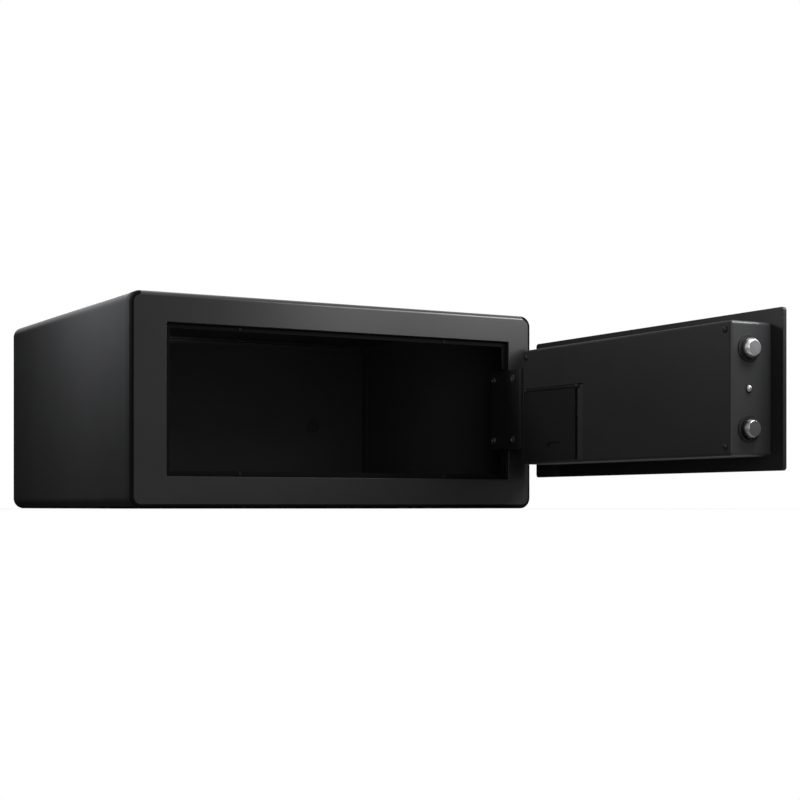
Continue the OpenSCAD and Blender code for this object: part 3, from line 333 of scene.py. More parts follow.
# %% [markdown]
# ## Brass, board, glass and lamps
# The pinion is cut brass. The board is green solder mask with traces that show through as slightly
# raised, lighter lines. The sensor's glass is dark and a little smeared, and the lamps are frosted.
# %% Small finishes
brass = Finish("cut_brass", "brass")
cuts = brass.grain(1800.0, 3.0, 0.6, brass.place(scale=(0.2, 0.2, 1.0)))
brass.surface(
    base_color=brass.blend(cuts, (0.52, 0.38, 0.13), (0.75, 0.58, 0.26)),
    metallic=1.0,
    roughness=0.22 + 0.14 * cuts,
    normal=brass.bump(cuts, 0.000006, 0.5),
)

board_green = Finish("solder_mask", "board_green")
flat_on = board_green.place(turn=(0.0, math.pi / 2, 0.0))
traces = board_green.node(
    "TexBrick",
    {"offset": 0.5, "squash": 0.6},
    {"Vector": flat_on, "Scale": 210.0, "Mortar Size": 0.035},
    out="Fac",
)
board_green.surface(
    base_color=board_green.blend(traces, (0.012, 0.085, 0.036), (0.03, 0.16, 0.07)),
    roughness=0.28 + 0.1 * board_green.grain(1500.0, 2.0),
    coat_weight=0.4,
    normal=board_green.bump(traces, 0.00003, 0.6),
)

glass = Finish("sensor_glass", "sensor_glass")
smear = glass.grain(120.0, 6.0, 0.7)
glass.surface(
    base_color=glass.blend(smear, (0.008, 0.013, 0.03), (0.014, 0.022, 0.045)),
    roughness=0.04 + 0.16 * smear,
    coat_weight=1.0,
    coat_roughness=0.03,
    normal=glass.bump(glass.grain(2400.0, 1.0), 0.000002, 0.4),
)

clear_lens = Finish("frosted_lens", "clear_lens")
frost = clear_lens.grain(2500.0, 3.0)
clear_lens.surface(
    base_color=clear_lens.blend(frost, (0.6, 0.64, 0.66), (0.78, 0.8, 0.82)),
    roughness=0.22 + 0.2 * frost,
    coat_weight=0.5,
    normal=clear_lens.bump(frost, 0.00001, 0.5),
)
print("small finishes are ready")

# %% [markdown]
# ## A small workshop of mesh tools
# Sheet steel parts are all made the same way here: a rounded outline is raised into a solid, windows
# and holes are cut out of it, and last the sharp edges are softened, because a folded and painted
# edge is never sharp and that thin round is what catches the light. Each helper does one of these.
# Only the width of a softened edge is a bare number of millimetres here. All else is in metres.
# %% Solids, cuts and softened edges
MM = 0.001
DOUBLE = 2e-6
NEAR = 1e-5
FLAT = math.radians(0.4)


def box_solid(low, high):
    bm = bmesh.new()
    low, high = Vector(low), Vector(high)
    bmesh.ops.create_cube(bm, size=1.0)
    bmesh.ops.scale(bm, vec=high - low, verts=bm.verts)
    bmesh.ops.translate(bm, vec=(low + high) / 2, verts=bm.verts)
    return bm


def raised_outline(width, height, radius, thick, steps=8):
    """A rounded rectangle in the XY plane, raised along Z"""
    bm = bmesh.new()
    bmesh.ops.create_grid(bm, x_segments=1, y_segments=1, size=0.5)
    bmesh.ops.scale(bm, vec=(width, height, 1.0), verts=bm.verts)
    if radius > 0:
        bmesh.ops.bevel(bm, geom=bm.verts[:], offset=radius, offset_type="OFFSET", affect="VERTICES",
                        segments=steps, profile=0.5, material=-1)
    raised = bmesh.ops.extrude_face_region(bm, geom=bm.faces[:], use_keep_orig=True)
    tops = [v for v in raised["geom"] if isinstance(v, bmesh.types.BMVert)]
    bmesh.ops.translate(bm, vec=(0.0, 0.0, thick), verts=tops)
    bmesh.ops.recalc_face_normals(bm, faces=bm.faces)
    return bm


def rod(radius, length, steps=48):
    """A rod that stands on the XY plane"""
    bm = bmesh.new()
    bmesh.ops.create_cone(bm, cap_ends=True, segments=steps, radius1=radius, radius2=radius, depth=length)
    bmesh.ops.translate(bm, vec=(0.0, 0.0, length / 2), verts=bm.verts)
    return bm


def turned(profile, steps=64):
    """A profile of (radius, height) points spun about Z"""
    bm = bmesh.new()
    points = [bm.verts.new((radius, 0.0, height)) for radius, height in profile]
    for first, second in zip(points, points[1:]):
        bm.edges.new((first, second))
    bmesh.ops.spin(bm, geom=bm.verts[:] + bm.edges[:], cent=(0, 0, 0), axis=(0, 0, 1), dvec=(0, 0, 0),
                   angle=2 * math.pi, steps=steps, use_merge=True, use_duplicate=False)
    bmesh.ops.remove_doubles(bm, verts=bm.verts, dist=1e-7)
    bmesh.ops.recalc_face_normals(bm, faces=bm.faces)
    return bm


def mesh_of(bm, name="work"):
    """Mesh data of a solid, which is used up"""
    mesh = bpy.data.meshes.new(name)
    bm.to_mesh(mesh)
    bm.free()
    return mesh


def put(bm, matrix):
    bmesh.ops.transform(bm, matrix=matrix, verts=bm.verts)
    return bm


def together(*parts):
    """Several solids in one mesh, side by side"""
    whole = parts[0]
    for part in parts[1:]:
        mesh = mesh_of(part)
        whole.from_mesh(mesh)
        bpy.data.meshes.remove(mesh)
    return whole


def merged(bm):
    """Joins doubled points and makes every flat face whole"""
    bmesh.ops.remove_doubles(bm, verts=bm.verts, dist=DOUBLE)
    bmesh.ops.dissolve_limit(bm, angle_limit=FLAT, verts=bm.verts, edges=bm.edges)
    return bm


def combined(operation, solid, tool):
    """The solid joined with, or cut by, a tool"""
    pair = [placed("work", mesh_of(part)) for part in (solid, tool)]
    modifier = pair[0].modifiers.new("work", "BOOLEAN")
    modifier.operation = operation
    modifier.solver = "EXACT"
    modifier.use_self = False
    modifier.object = pair[1]
    out = bmesh.new()
    out.from_object(pair[0], bpy.context.evaluated_depsgraph_get())
    for item in pair:
        bpy.data.meshes.remove(item.data)
    return merged(out)


def cut(solid, *tools):
    return combined("DIFFERENCE", solid, together(*tools))


def soften(bm, width, segments=2, angle=30.0, where=None):
    """Rounds each edge that bends by more than an angle and passes the test, by a width in millimetres"""
    sharp = [e for e in bm.edges if e.is_manifold and e.calc_face_angle(0.0) > math.radians(angle)]
    if where:
        sharp = [e for e in sharp if all(where(v.co) for v in e.verts)]
    bmesh.ops.bevel(bm, geom=sharp, offset=MM * width, offset_type="OFFSET", affect="EDGES",
                    segments=segments, profile=0.5, material=-1, clamp_overlap=True)
    return bm


def mark(bm, test):
    """Gives every face whose normal and middle pass a test the second finish"""
    bm.normal_update()
    for face in bm.faces:
        if test(face.normal, face.calc_center_median()):
            face.material_index = 1


def packed_copy(node):
    """A CAD node's shape as one merged mesh"""
    bm = bmesh.new()
    bm.from_mesh(frame["nodes"][node].data)
    return merged(bm)


def piece(name, bm, finish, body, *nodes, smooth=35.0, second=None, flat_over=1.0):
    """Makes the finished object, lets it ride on its body and stand for its CAD nodes"""
    mesh = mesh_of(bm, name)
    mesh.polygons.foreach_set("use_smooth", [face.area < flat_over for face in mesh.polygons])
    mesh.set_sharp_from_angle(angle=math.radians(smooth))
    made = placed(name, mesh)
    weighted = made.modifiers.new("flat faces stay flat", "WEIGHTED_NORMAL")
    weighted.keep_sharp = True
    weighted.weight = 100
    mesh.materials.append(finish.material)
    if second:
        mesh.materials.append(second.material)
    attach(made, body)
    if nodes:
        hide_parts(*nodes)
    print(name, "has", len(mesh.polygons), "faces and stands for", ", ".join(nodes) or "nothing")
    return made


print("the workshop is ready")

# %% [markdown]
# ## Two frames of reference
# The body stands square to the axes. The door stands open, so its own axes are turned by a quarter:
# along the door from its latch end, inwards from its outer face, and up from its middle height. One
# matrix carries a part drawn in those door axes to its place. Three more turn a part that was raised
# along Z: out of the door, into it, or along it.
# %% Where the body and the door are
plate_low, plate_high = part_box("door_plate")
DOOR = Matrix.Translation((plate_high.x, plate_low.y, (plate_low.z + plate_high.z) / 2)) @ Matrix.Rotation(
    math.pi / 2, 4, "Z")
FROM_DOOR = DOOR.inverted()
UPRIGHT = Matrix.Rotation(math.pi / 2, 4, "X")
INTO_DOOR = Matrix.Rotation(-math.pi / 2, 4, "X")
ALONG_X = Matrix.Rotation(math.pi / 2, 4, "Y")


def door_box(node):
    """A node's lowest and highest corner in the door's own axes, in millimetres"""
    corners = [FROM_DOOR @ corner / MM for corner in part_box(node)]
    low = [min(c[i] for c in corners) for i in range(3)]
    high = [max(c[i] for c in corners) for i in range(3)]
    return Vector(low), Vector(high)


def shift(x=0.0, y=0.0, z=0.0):
    return Matrix.Translation((x, y, z))


def block(x, y, z):
    """A block in the door's axes from three spans in millimetres"""
    return box_solid([MM * span[0] for span in (x, y, z)], [MM * span[1] for span in (x, y, z)])


def about(middle, half):
    """The span that reaches equally far to both sides of a middle"""
    return middle - half, middle + half


def slab(width, height, radius, thick, place, steps=8):
    """A rounded plate whose inner face is at a place, in millimetres"""
    return put(raised_outline(MM * width, MM * height, MM * radius, MM * thick, steps), at(*place) @ UPRIGHT)


def inward(radius, x, z, start, end, steps=40):
    """A rod through the depth of the door, in millimetres"""
    return put(rod(MM * radius, MM * (end - start), steps), shift(MM * x, MM * end, MM * z) @ UPRIGHT)


def lengthwise(radius, y, z, start, end, steps=40):
    """A rod that lies along the door, in millimetres"""
    return put(rod(MM * radius, MM * (end - start), steps), shift(MM * start, MM * y, MM * z) @ ALONG_X)


def lathe(profile, matrix, steps=64):
    """A turned part whose profile is in millimetres"""
    return put(turned([(MM * radius, MM * height) for radius, height in profile], steps), matrix)


def at(x=0.0, y=0.0, z=0.0):
    """A place in the door's axes, in millimetres"""
    return shift(MM * x, MM * y, MM * z)


print("the door's latch end is at", [round(1000 * v) for v in DOOR.translation], "mm")

# %% [markdown]
# ## The shell
# The shell is one sheet wrapped round into a tube with four round edges. It is made as a solid
# rounded block less a smaller one, so that wall and radius stay even all the way round. The smaller
# block goes a little past both ends, as every cutting tool here does. Four anchor holes go through
# the floor.
# %% The wrapped shell
shell_low, shell_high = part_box("body_shell")
SHELL_T = 2 * MM
EDGE_R = 11 * MM
PAST = 10 * MM
HOLE_R = 5 * MM
FLOOR_HOLES_X = 300 * MM
FLOOR_HOLES_Y = 220 * MM
body_w = shell_high.x - shell_low.x
body_h = shell_high.z - shell_low.z
mid_height = body_h / 2


def body_block(inset, start, end, radius, steps=16):
    """A rounded block that lies along the body from one depth to another"""
    block = raised_outline(body_w - 2 * inset, body_h - 2 * inset, radius, end - start, steps)
    return put(block, shift(0.0, end, mid_height) @ UPRIGHT)


def floor_holes(radius):
    holes = []
    for x in (-FLOOR_HOLES_X / 2, FLOOR_HOLES_X / 2):
        for y in (-FLOOR_HOLES_Y / 2, FLOOR_HOLES_Y / 2):
            holes.append(put(rod(radius, 2 * PAST, 40), shift(x, y, -PAST / 2)))
    return holes


shell = cut(
    body_block(0.0, shell_low.y, shell_high.y, EDGE_R),
    body_block(SHELL_T, shell_low.y - PAST, shell_high.y + PAST, EDGE_R - SHELL_T),
)
shell = cut(shell, *floor_holes(HOLE_R))
piece("shell", soften(shell, 0.5), body_paint, "body", "body_shell")

# %% [markdown]
# ## The front frame
# The front is a pressed face. Its outer edge rolls back over a radius of four millimetres before it
# meets the shell. The roll has a darker and more matt paint where it faces the camera's side: the
# darker paint is painted shade, which stands in for the dark upright line between the side and the
# front. The opening is folded inwards to make the return that the door closes into, and a flange
# behind enters the shell.
# %% The pressed front frame
frame_low, frame_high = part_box("front_frame")
stop_low, stop_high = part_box("door_stop")
bracket_low, bracket_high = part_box("hinge_bracket")
FACE_T = 2.5 * MM
FACE_R = 4 * MM
RETURN_T = 2 * MM
RETURN_D = 8 * MM
FLANGE_T = 1.2 * MM
FLANGE_GAP = 0.05 * MM
FLANGE_LAP = 2 * MM
ROOM_X, ROOM_Z = 10 * MM, 3 * MM
front_y = frame_low.y
rim_y = shell_low.y


def pressed(face_y, seam_y, roll, thick, steps):
    """A face whose edge rolls back to its seam with the shell"""
    inwards = math.copysign(1.0, seam_y - face_y)
    pan = body_block(0.0, *sorted((face_y, seam_y)), EDGE_R)
    soften(pan, roll / MM, steps, where=lambda co: abs(co.y - face_y) < NEAR)
    hollow = sorted((face_y + inwards * thick, seam_y + inwards * PAST))
    return cut(pan, body_block(roll, *hollow, EDGE_R - roll))


def flange(low_y, high_y):
    """A thin ring that enters the shell"""
    return cut(
        body_block(SHELL_T + FLANGE_GAP, low_y, high_y, EDGE_R - SHELL_T),
        body_block(SHELL_T + FLANGE_T, low_y - PAST, high_y + PAST, EDGE_R - SHELL_T - FLANGE_T),
    )


front = pressed(front_y, rim_y, FACE_R, FACE_T, 8)
fold = box_solid((stop_low.x - RETURN_T, front_y + FACE_T / 2, stop_low.z - RETURN_T),
                 (stop_high.x + RETURN_T, front_y + RETURN_D, stop_high.z + RETURN_T))
front = combined("UNION", front, fold)
opening = box_solid((stop_low.x, front_y - PAST, stop_low.z), (stop_high.x, 0.0, stop_high.z))
front = soften(cut(front, opening), 0.7, 3)
hinge_room = box_solid((bracket_low.x + ROOM_X, rim_y - PAST, bracket_low.z - ROOM_Z),
                       (body_w, 0.0, bracket_high.z + ROOM_Z))
front_flange = cut(flange(rim_y - FLANGE_LAP, frame_high.y), hinge_room)
front = together(front, soften(front_flange, 0.2))
front.normal_update()


def from_outline(spot):
    """How far a place is inside the rounded outline, and whether it is over a straight top or bottom"""
    across = abs(spot.x) - (body_w / 2 - EDGE_R)
    up = abs(spot.z - mid_height) - (body_h / 2 - EDGE_R)
    return EDGE_R - math.hypot(max(across, 0), max(up, 0)) - min(max(across, up), 0), across < 0 < up


NEARLY_FLAT, SIDEWAYS, TOP_BACK = -0.998, -0.4, -0.3
RIM_SHADE_MARK, SIDE_MARK = 1, 2
# The forward-facing part of the roll, and the back of the roll along the top, get the near-black paint, which
# is painted shade; the sideways part of the roll gets the matt side paint.
for face in front.faces:
    depth, straight = from_outline(face.calc_center_median())
    on_top = straight and face.normal.z > 0
    if depth < FACE_R + 0.3 * MM and face.normal.y >= (TOP_BACK if on_top else NEARLY_FLAT):
        face.material_index = RIM_SHADE_MARK if on_top or face.normal.y < SIDEWAYS else SIDE_MARK
front_face = piece("front_face", front, frame_paint, "body", "front_frame", second=rim_shade_paint)
front_face.data.materials.append(side_paint.material)

# %% [markdown]
# ## The stop lip and the brackets
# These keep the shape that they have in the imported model. A copy of each is merged and its edges are
# softened by the width that its sheet would give.
# %% Parts that only need softer edges
def softened(node, finish, body, width, segments=2):
    return piece(node + "_soft", soften(packed_copy(node), width, segments), finish, body, node)


# The stop lip and the strike plate take the near-black lip paint, which is painted shade.
softened("door_stop", lip_shade_paint, "body", 0.4)
softened("strike_plate", lip_shade_paint, "body", 0.4)
# The hinge bracket takes the darker hinge paint, which is painted shade.
softened("hinge_bracket", hinge_shade_paint, "body", 0.4)

# %% [markdown]
# ## The rear wall
# The rear wall is a shallow pan that is pressed like the front. Its edge rolls over three millimetres
# to the seam with the shell, and a flange enters the shell. Two anchor holes go through it.
# %% The pressed rear wall
rear_low, rear_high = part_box("back_panel")
BACK_R = 3 * MM
ANCHOR_X = 150 * MM
ANCHOR_Z = 100 * MM
seam_y = shell_high.y
back = pressed(rear_high.y, seam_y, BACK_R, SHELL_T, 6)
back = cut(back, *[put(rod(HOLE_R, 2 * PAST, 40), shift(x, rear_high.y + PAST, ANCHOR_Z) @ UPRIGHT)
                   for x in (-ANCHOR_X, ANCHOR_X)])
rear_flange = flange(rear_low.y, seam_y + FLANGE_LAP)
back = together(soften(back, 0.3), soften(rear_flange, 0.2))
piece("rear_wall", back, body_paint, "body", "back_panel")

# %% [markdown]
# ## Caps in the rear anchor holes
# Until the safe is bolted to a wall its rear anchor holes are closed from the inside by soft caps.
# Each is a lathe profile: a low dome with a rounded rim, and a stem that fills the hole.
# %% Two anchor caps
cap_profile = [(0, 0), (4.8, 0), (4.8, 2.05), (7.5, 2.05), (7.5, 2.9), (6.8, 3.4), (4.5, 3.8), (0, 4)]
caps = [lathe(cap_profile, shift(x, rear_high.y, ANCHOR_Z) @ UPRIGHT, 40) for x in (-ANCHOR_X, ANCHOR_X)]
piece("anchor_caps", soften(together(*caps), 0.2), rubber, "body")

# %% [markdown]
# ## The floor mat
# A felt mat keeps what lies in the safe from sliding. It is a thin slab with round corners and a
# well rounded top edge, and it is cut out over the four anchor holes. Its fibres are all finish.
# %% The felt mat
mat_low, mat_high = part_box("floor_mat")
MAT_R = 6 * MM
MAT_HOLE_R = 9 * MM
mat = raised_outline(mat_high.x - mat_low.x, mat_high.y - mat_low.y, MAT_R, mat_high.z - mat_low.z, 6)
put(mat, shift((mat_low.x + mat_high.x) / 2, (mat_low.y + mat_high.y) / 2, mat_low.z))
mat = cut(mat, *floor_holes(MAT_HOLE_R))
piece("felt_mat", soften(mat, 0.9, 3), mat_felt, "body", "floor_mat")

# %% [markdown]
# ## Rubber bumpers
# Four small domes on the stop lip take the last of the door's travel. Each is a lathe profile, and
# its rim is softened afterwards.
# %% Four bumpers
bumper_low, bumper_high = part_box("door_bumpers")
BUMPER_R = 1.9
bumper_h = (bumper_high.y - bumper_low.y) / MM
bumper_profile = [(0, 0), (BUMPER_R, 0), (BUMPER_R, 0.6 * bumper_h), (0.6 * BUMPER_R, bumper_h),
                  (0, bumper_h)]
bumpers = []
for x in (bumper_low.x + MM * BUMPER_R, bumper_high.x - MM * BUMPER_R):
    for z in (bumper_low.z + MM * BUMPER_R, bumper_high.z - MM * BUMPER_R):
        bumpers.append(lathe(bumper_profile, shift(x, bumper_high.y, z) @ UPRIGHT, 32))
piece("bumpers", soften(together(*bumpers), 0.25), rubber, "body", "door_bumpers")

# %% [markdown]
# ## The door plate
# The door is one thick flat plate with small round corners. The reader, the pull, the lock barrel and
# the key cover's pin each go through it, so it gets their four holes before its edges are softened.
# %% The door plate
DOOR_W = (plate_high.y - plate_low.y) / MM
DOOR_H = (plate_high.z - plate_low.z) / MM
DOOR_T = (plate_high.x - plate_low.x) / MM
CORNER_R = 3
PLAY = 0.05
LEAD_HOLE_R = 6
STUD_R = 3
LOCK_R = 9.5
PIN_R = 2
READER_X = 92
KNOB_X = 240
KEY_X = 152
KEY_Z = -32
PIN_Z = -15
plate = slab(DOOR_W, DOOR_H, CORNER_R, DOOR_T, (DOOR_W / 2, DOOR_T))
plate_holes = [(LEAD_HOLE_R, READER_X, 0), (STUD_R + PLAY, KNOB_X, 0), (LOCK_R + PLAY, KEY_X, KEY_Z),
               (PIN_R + PLAY, KEY_X, PIN_Z)]
plate = cut(plate, *[inward(radius, x, z, -1, DOOR_T + 1) for radius, x, z in plate_holes])
# The door plate is painted darker than the frame, as painted shade.
piece("door_skin", put(soften(plate, 0.5, 3), DOOR), door_shade_paint, "door", "door_plate")

# %% [markdown]
# ## The casing over the lock works
# The casing is a folded sheet box with rounded bends. A rounded block gives its outside and a smaller
# one is taken out of it, so that the bend keeps the thickness of the sheet. The window for the
# batteries, the bores for the bolts and the screw holes go in last. The end with the bolts is in the
# finish of the front frame, which is painted light: it is the same sheet as the face, and the lighter
# finish stands in for the light that falls on the end.
# %% The folded casing
casing_low, casing_high = door_box("inner_cover")
CASING_T = 1.5
BEND_R = 3
PLUNGER_HOLE_R = 3.65
COLLAR_HOLE_R = 10.65
SCREW_HOLE_R = 1.8
BOLT_Y = 28
BOLT_Z = 34
WINDOW_X = (225.5, 324.5)
WINDOW_Z = (-54, 18)
SCREW_PLACES = [(23, -49.5), (23, 49.5), (321, 49.5)]


def casing_block(inset, start, end, bend):
    """A block whose face and side bends are rounded"""
    span = casing_high - casing_low
    middle = (casing_low + casing_high) / 2
    bm = slab(span.x - 2 * inset, span.z - 2 * inset, bend, end - start, (middle.x, end, middle.z))
    return soften(bm, bend - 0.05, 6, where=lambda co: co.y > MM * end - NEAR)


face_y = casing_high.y
casing = cut(casing_block(0, casing_low.y, face_y, BEND_R),
             casing_block(CASING_T, casing_low.y - 4, face_y - CASING_T, BEND_R - CASING_T))
openings = [block(WINDOW_X, (face_y - CASING_T - 1, face_y + 1), WINDOW_Z)]
for radius, z in ((PLUNGER_HOLE_R, 0), (COLLAR_HOLE_R, -BOLT_Z), (COLLAR_HOLE_R, BOLT_Z)):
    openings.append(lengthwise(radius, BOLT_Y, z, casing_low.x - 1, casing_low.x + 3))
for x, z in SCREW_PLACES:
    openings.append(inward(SCREW_HOLE_R, x, z, face_y - 3, face_y + 1, 24))
casing = soften(cut(casing, *openings), 0.3, 2, angle=50)
# The end and its bend take the frame's lighter, glossier paint as painted light.
mark(casing, lambda normal, spot: normal.x < SIDEWAYS and spot.x < MM * (casing_low.x + BEND_R))
piece("casing", put(casing, DOOR), casing_paint, "door", "inner_cover", second=frame_paint)

# %% [markdown]
# ## Cross-head screws
# Three pan-head screws hold the casing. The head is a flattened dome from a lathe profile, and two
# thin blocks cut the cross in it.
# %% The casing's screws
def cross_screw(x, z, seat, length):
    head = [(0, -length), (1.1, -length), (1.6, -length + 0.8), (1.6, 0), (3, 0), (3, 0.35), (2.65, 0.85),
            (1.9, 1.18), (1, 1.3), (0, 1.3)]
    screw = lathe(head, at(x, seat, z) @ INTO_DOOR, 32)
    high = (seat + 0.5, seat + 2)
    bars = [block(about(x, wide), high, about(z, tall)) for wide, tall in ((1.5, 0.3), (0.3, 1.5))]
    return cut(screw, combined("UNION", *bars))


SCREW_L = 8
screws = together(*[cross_screw(x, z, face_y, SCREW_L) for x, z in SCREW_PLACES])
piece("casing_screws", put(soften(screws, 0.08, 1), DOOR), black_oxide, "door", "inner_cover_screws")

# %% [markdown]
# ## The battery cover
# The battery cover fills the window but for a narrow strip. It is a small plate with a round barrel
# along its top edge that turns on two pins, and a long oval notch for a fingertip. The outer edges
# are softened before the notch and the pin bores are cut, and the rim of the notch after that.
# %% The battery cover and its hinge barrel
flap_low, flap_high = door_box("battery_cover")
FLAP_T = 2
SLOT_W = 4
BARREL_R = 1.6
BARREL_X = (237.7, 320.3)
PIN_HOLE_R = 0.85
PIN_HOLE_L = 7
NOTCH_L = 21
NOTCH_W = 5
NOTCH_D = 1.3
NOTCH_X = 272.5
NOTCH_Z = -39
flap_y = (face_y - FLAP_T, face_y)
barrel_y = face_y - 1
barrel_z = flap_high.z - BARREL_R
flap = block((flap_low.x + SLOT_W, flap_high.x), flap_y, (flap_low.z, barrel_z - BARREL_R - 0.3))
tab = block(BARREL_X, flap_y, (barrel_z - BARREL_R - 0.6, barrel_z))
flap = combined("UNION", flap, tab)
flap = combined("UNION", flap, lengthwise(BARREL_R, barrel_y, barrel_z, *BARREL_X))
soften(flap, 0.35, 3, angle=50)
notch = slab(NOTCH_L, NOTCH_W, NOTCH_W / 2 - 0.01, NOTCH_D + 1, (NOTCH_X, face_y + 1, NOTCH_Z))
pin_bores = [lengthwise(PIN_HOLE_R, barrel_y, barrel_z, start, start + PIN_HOLE_L)
             for start in (BARREL_X[0] - 1, BARREL_X[1] + 1 - PIN_HOLE_L)]
flap = cut(flap, notch, *pin_bores)


def on_notch_rim(spot):
    x, y, z = spot / MM
    return abs(x - NOTCH_X) < NOTCH_L / 2 + 1 and abs(z - NOTCH_Z) < NOTCH_W / 2 + 1.5 and y > face_y - 0.1


soften(flap, 0.3, 3, where=on_notch_rim)
# The battery cover is painted darker than the casing, as painted shade.
piece("battery_flap", put(flap, DOOR), flap_shade_paint, "battery_cover", "battery_cover", flat_over=20 * MM * MM)

# %% [markdown]
# ## Bolts, collars and the switch plunger
# The two locking bolts are turned bars with a long nose. Both are the same plated steel, but the flat
# end is painted darker than the nose, and the upper bolt lighter than the lower one: that is painted
# reflection and shade. Each slides in a moulded collar with a thin flange. Between them stands the
# small domed plunger of the door switch. All of them are lathe profiles, laid along the door.
# %% Turned parts at the latch end
bolt_low, bolt_high = door_box("locking_bolt_upper")
BOLT_R = (bolt_high.y - bolt_low.y) / 2
BOLT_L = bolt_high.x - bolt_low.x
NOSE_IN = 2.3
NOSE_L = 4.4
BOLT_BORE_R = 2.05
BOLT_BORE_L = 14
bore_end = BOLT_L - BOLT_BORE_L
bolt_profile = [(0, 0), (BOLT_R - NOSE_IN, 0), (BOLT_R, NOSE_L), (BOLT_R, BOLT_L), (BOLT_BORE_R, BOLT_L),
                (BOLT_BORE_R, bore_end), (0, bore_end)]
# Each bolt gets its own painted grey: lighter on the upper bolt as painted light, darker on the lower as
# painted shade, and the nose painted lighter than the flat end as a painted reflection.
for name, side, painted_light_grey in (("upper", 1, 0.2), ("lower", -1, 0.08)):
    place = at(bolt_low.x, BOLT_Y, side * BOLT_Z) @ ALONG_X
    bar = soften(lathe(bolt_profile, place, 96), 0.8, 4)
    mark(bar, lambda normal, spot: normal.x > -0.9 and spot.x < MM * (bolt_low.x + NOSE_L + 0.5))
    axis = DOOR @ Vector((0.0, MM * BOLT_Y, MM * side * BOLT_Z))
    steel = turned_steel("bolt_face_" + name, axis, colour=(painted_light_grey, painted_light_grey, 1.03 * painted_light_grey), roughness=0.3)
    painted_nose_grey = (2.4 * painted_light_grey, 2.4 * painted_light_grey, 2.45 * painted_light_grey)
    nose = turned_steel("bolt_nose_" + name, axis, colour=painted_nose_grey, roughness=0.24)
    piece("bolt_" + name, put(bar, DOOR), steel, "bolts", "locking_bolt_" + name, second=nose)

collar_profile = [(9.05, -1), (11.8, -1), (11.8, 0), (10.6, 0), (10.6, 4.7), (9.05, 4.7), (9.05, -1)]
collars = [lathe(collar_profile, at(casing_low.x, BOLT_Y, z) @ ALONG_X) for z in (-BOLT_Z, BOLT_Z)]
collars = together(*collars)
piece("bolt_collars", put(soften(collars, 0.3), DOOR), black_plastic, "door", "bolt_bushes")

tip_low, tip_high = door_box("door_switch_plunger")
PLUNGER_R = 3.25
DOME_STEPS = 12
bends = [math.pi / 2 * i / DOME_STEPS for i in range(DOME_STEPS + 1)]
dome = [(PLUNGER_R * math.sin(bend), PLUNGER_R * (1 - math.cos(bend))) for bend in bends]
stem_l = tip_high.x - tip_low.x
stem = dome + [(PLUNGER_R, stem_l - 1), (PLUNGER_R + 1, stem_l - 1), (PLUNGER_R + 1, stem_l), (0, stem_l)]
plunger = soften(lathe(stem, at(tip_low.x, BOLT_Y) @ ALONG_X, 48), 0.12, 1, angle=50)
plunger_steel = turned_steel("plunger_steel", DOOR @ Vector((0.0, MM * BOLT_Y, 0.0)))
piece("switch_plunger", put(plunger, DOOR), plunger_steel, "plunger", "door_switch_plunger")

# %% [markdown]
# ## The plunger's return spring
# A coil spring can't ride on one body only: one end stands in the switch and the other follows the
# plunger. The coil keeps its imported shape and rides on the door, with a mesh of its own.
# %% The coil
coil = piece("plunger_coil", packed_copy("plunger_spring"), bright_steel, "door", "plunger_spring",
             smooth=60.0)
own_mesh(coil)

# %% [markdown]
# ## The goose-neck hinge
# The moving knuckle carries a bent neck, and a second bent plate is bolted over it and runs to the
# door. Both are thick strip with sheared edges, so a copy of each keeps its form and loses only the
# sharpness of its edges. Four socket-head screws join them.
# %% The hinge parts
# The hinge leaf and arm take the darker hinge paint, which is painted shade.
softened("hinge_leaf", hinge_shade_paint, "door", 0.45, 3)
softened("hinge_arm", hinge_shade_paint, "door", 0.45, 3)
softened("hinge_screws", dull_zinc, "door", 0.2, 2)
softened("hinge_studs", bright_steel, "door", 0.25, 2)

# %% [markdown]
# ## The fingerprint reader
# On the outer face a moulded housing holds the sensor at the bottom of a hollow that a fingertip
# finds by itself. The hollow is a sphere taken out of a rounded block, as it is in the tool that
# moulds it.
# %% Reader housing, window and lamps
READER_W = 64
READER_H = 44
READER_D = 12
READER_R = 12
ROUND_R = 5
BALL_R = 18.5
BALL_OUT = 14
PANE_Y = -7
PANE_T = 1.4
PANE_HALF_X = 9
PANE_HALF_Z = 11
LEDGE_W = 1.5
RING_GAP = 0.1
LENS_HOLE_R = 1.85
LAMP_X = READER_X - 23
LAMP_PLACES_Z = (-10, 0, 10)
hollow_x = READER_X + 4
housing = slab(READER_W, READER_H, READER_R, READER_D, (READER_X,), 12)
soften(housing, ROUND_R, 8, where=lambda co: co.y < -MM * READER_D + NEAR)
ball = bmesh.new()
bmesh.ops.create_uvsphere(ball, u_segments=96, v_segments=48, radius=MM * BALL_R)
put(ball, at(hollow_x, -READER_D - BALL_OUT))
tools = [
    ball,
    block(about(hollow_x, PANE_HALF_X), (-READER_D - 1, PANE_Y + PANE_T), about(0, PANE_HALF_Z)),
    block(about(hollow_x, PANE_HALF_X - LEDGE_W), (PANE_Y - 1, 1), about(0, PANE_HALF_Z - LEDGE_W)),
]
for z in LAMP_PLACES_Z:
    tools.append(inward(LENS_HOLE_R, LAMP_X, z, -READER_D - 1, -READER_D + 4, 32))
for tool in tools:
    housing = cut(housing, tool)
housing = soften(housing, 0.35, 2, angle=25)
piece("reader_shell", put(housing, DOOR), gloss_black, "door", "reader_housing")

pane = block(about(hollow_x, PANE_HALF_X - RING_GAP), (PANE_Y + 0.02, PANE_Y + PANE_T),
             about(0, PANE_HALF_Z - RING_GAP))
piece("sensor_pane", put(soften(pane, 0.3, 2), DOOR), glass, "door", "reader_window")

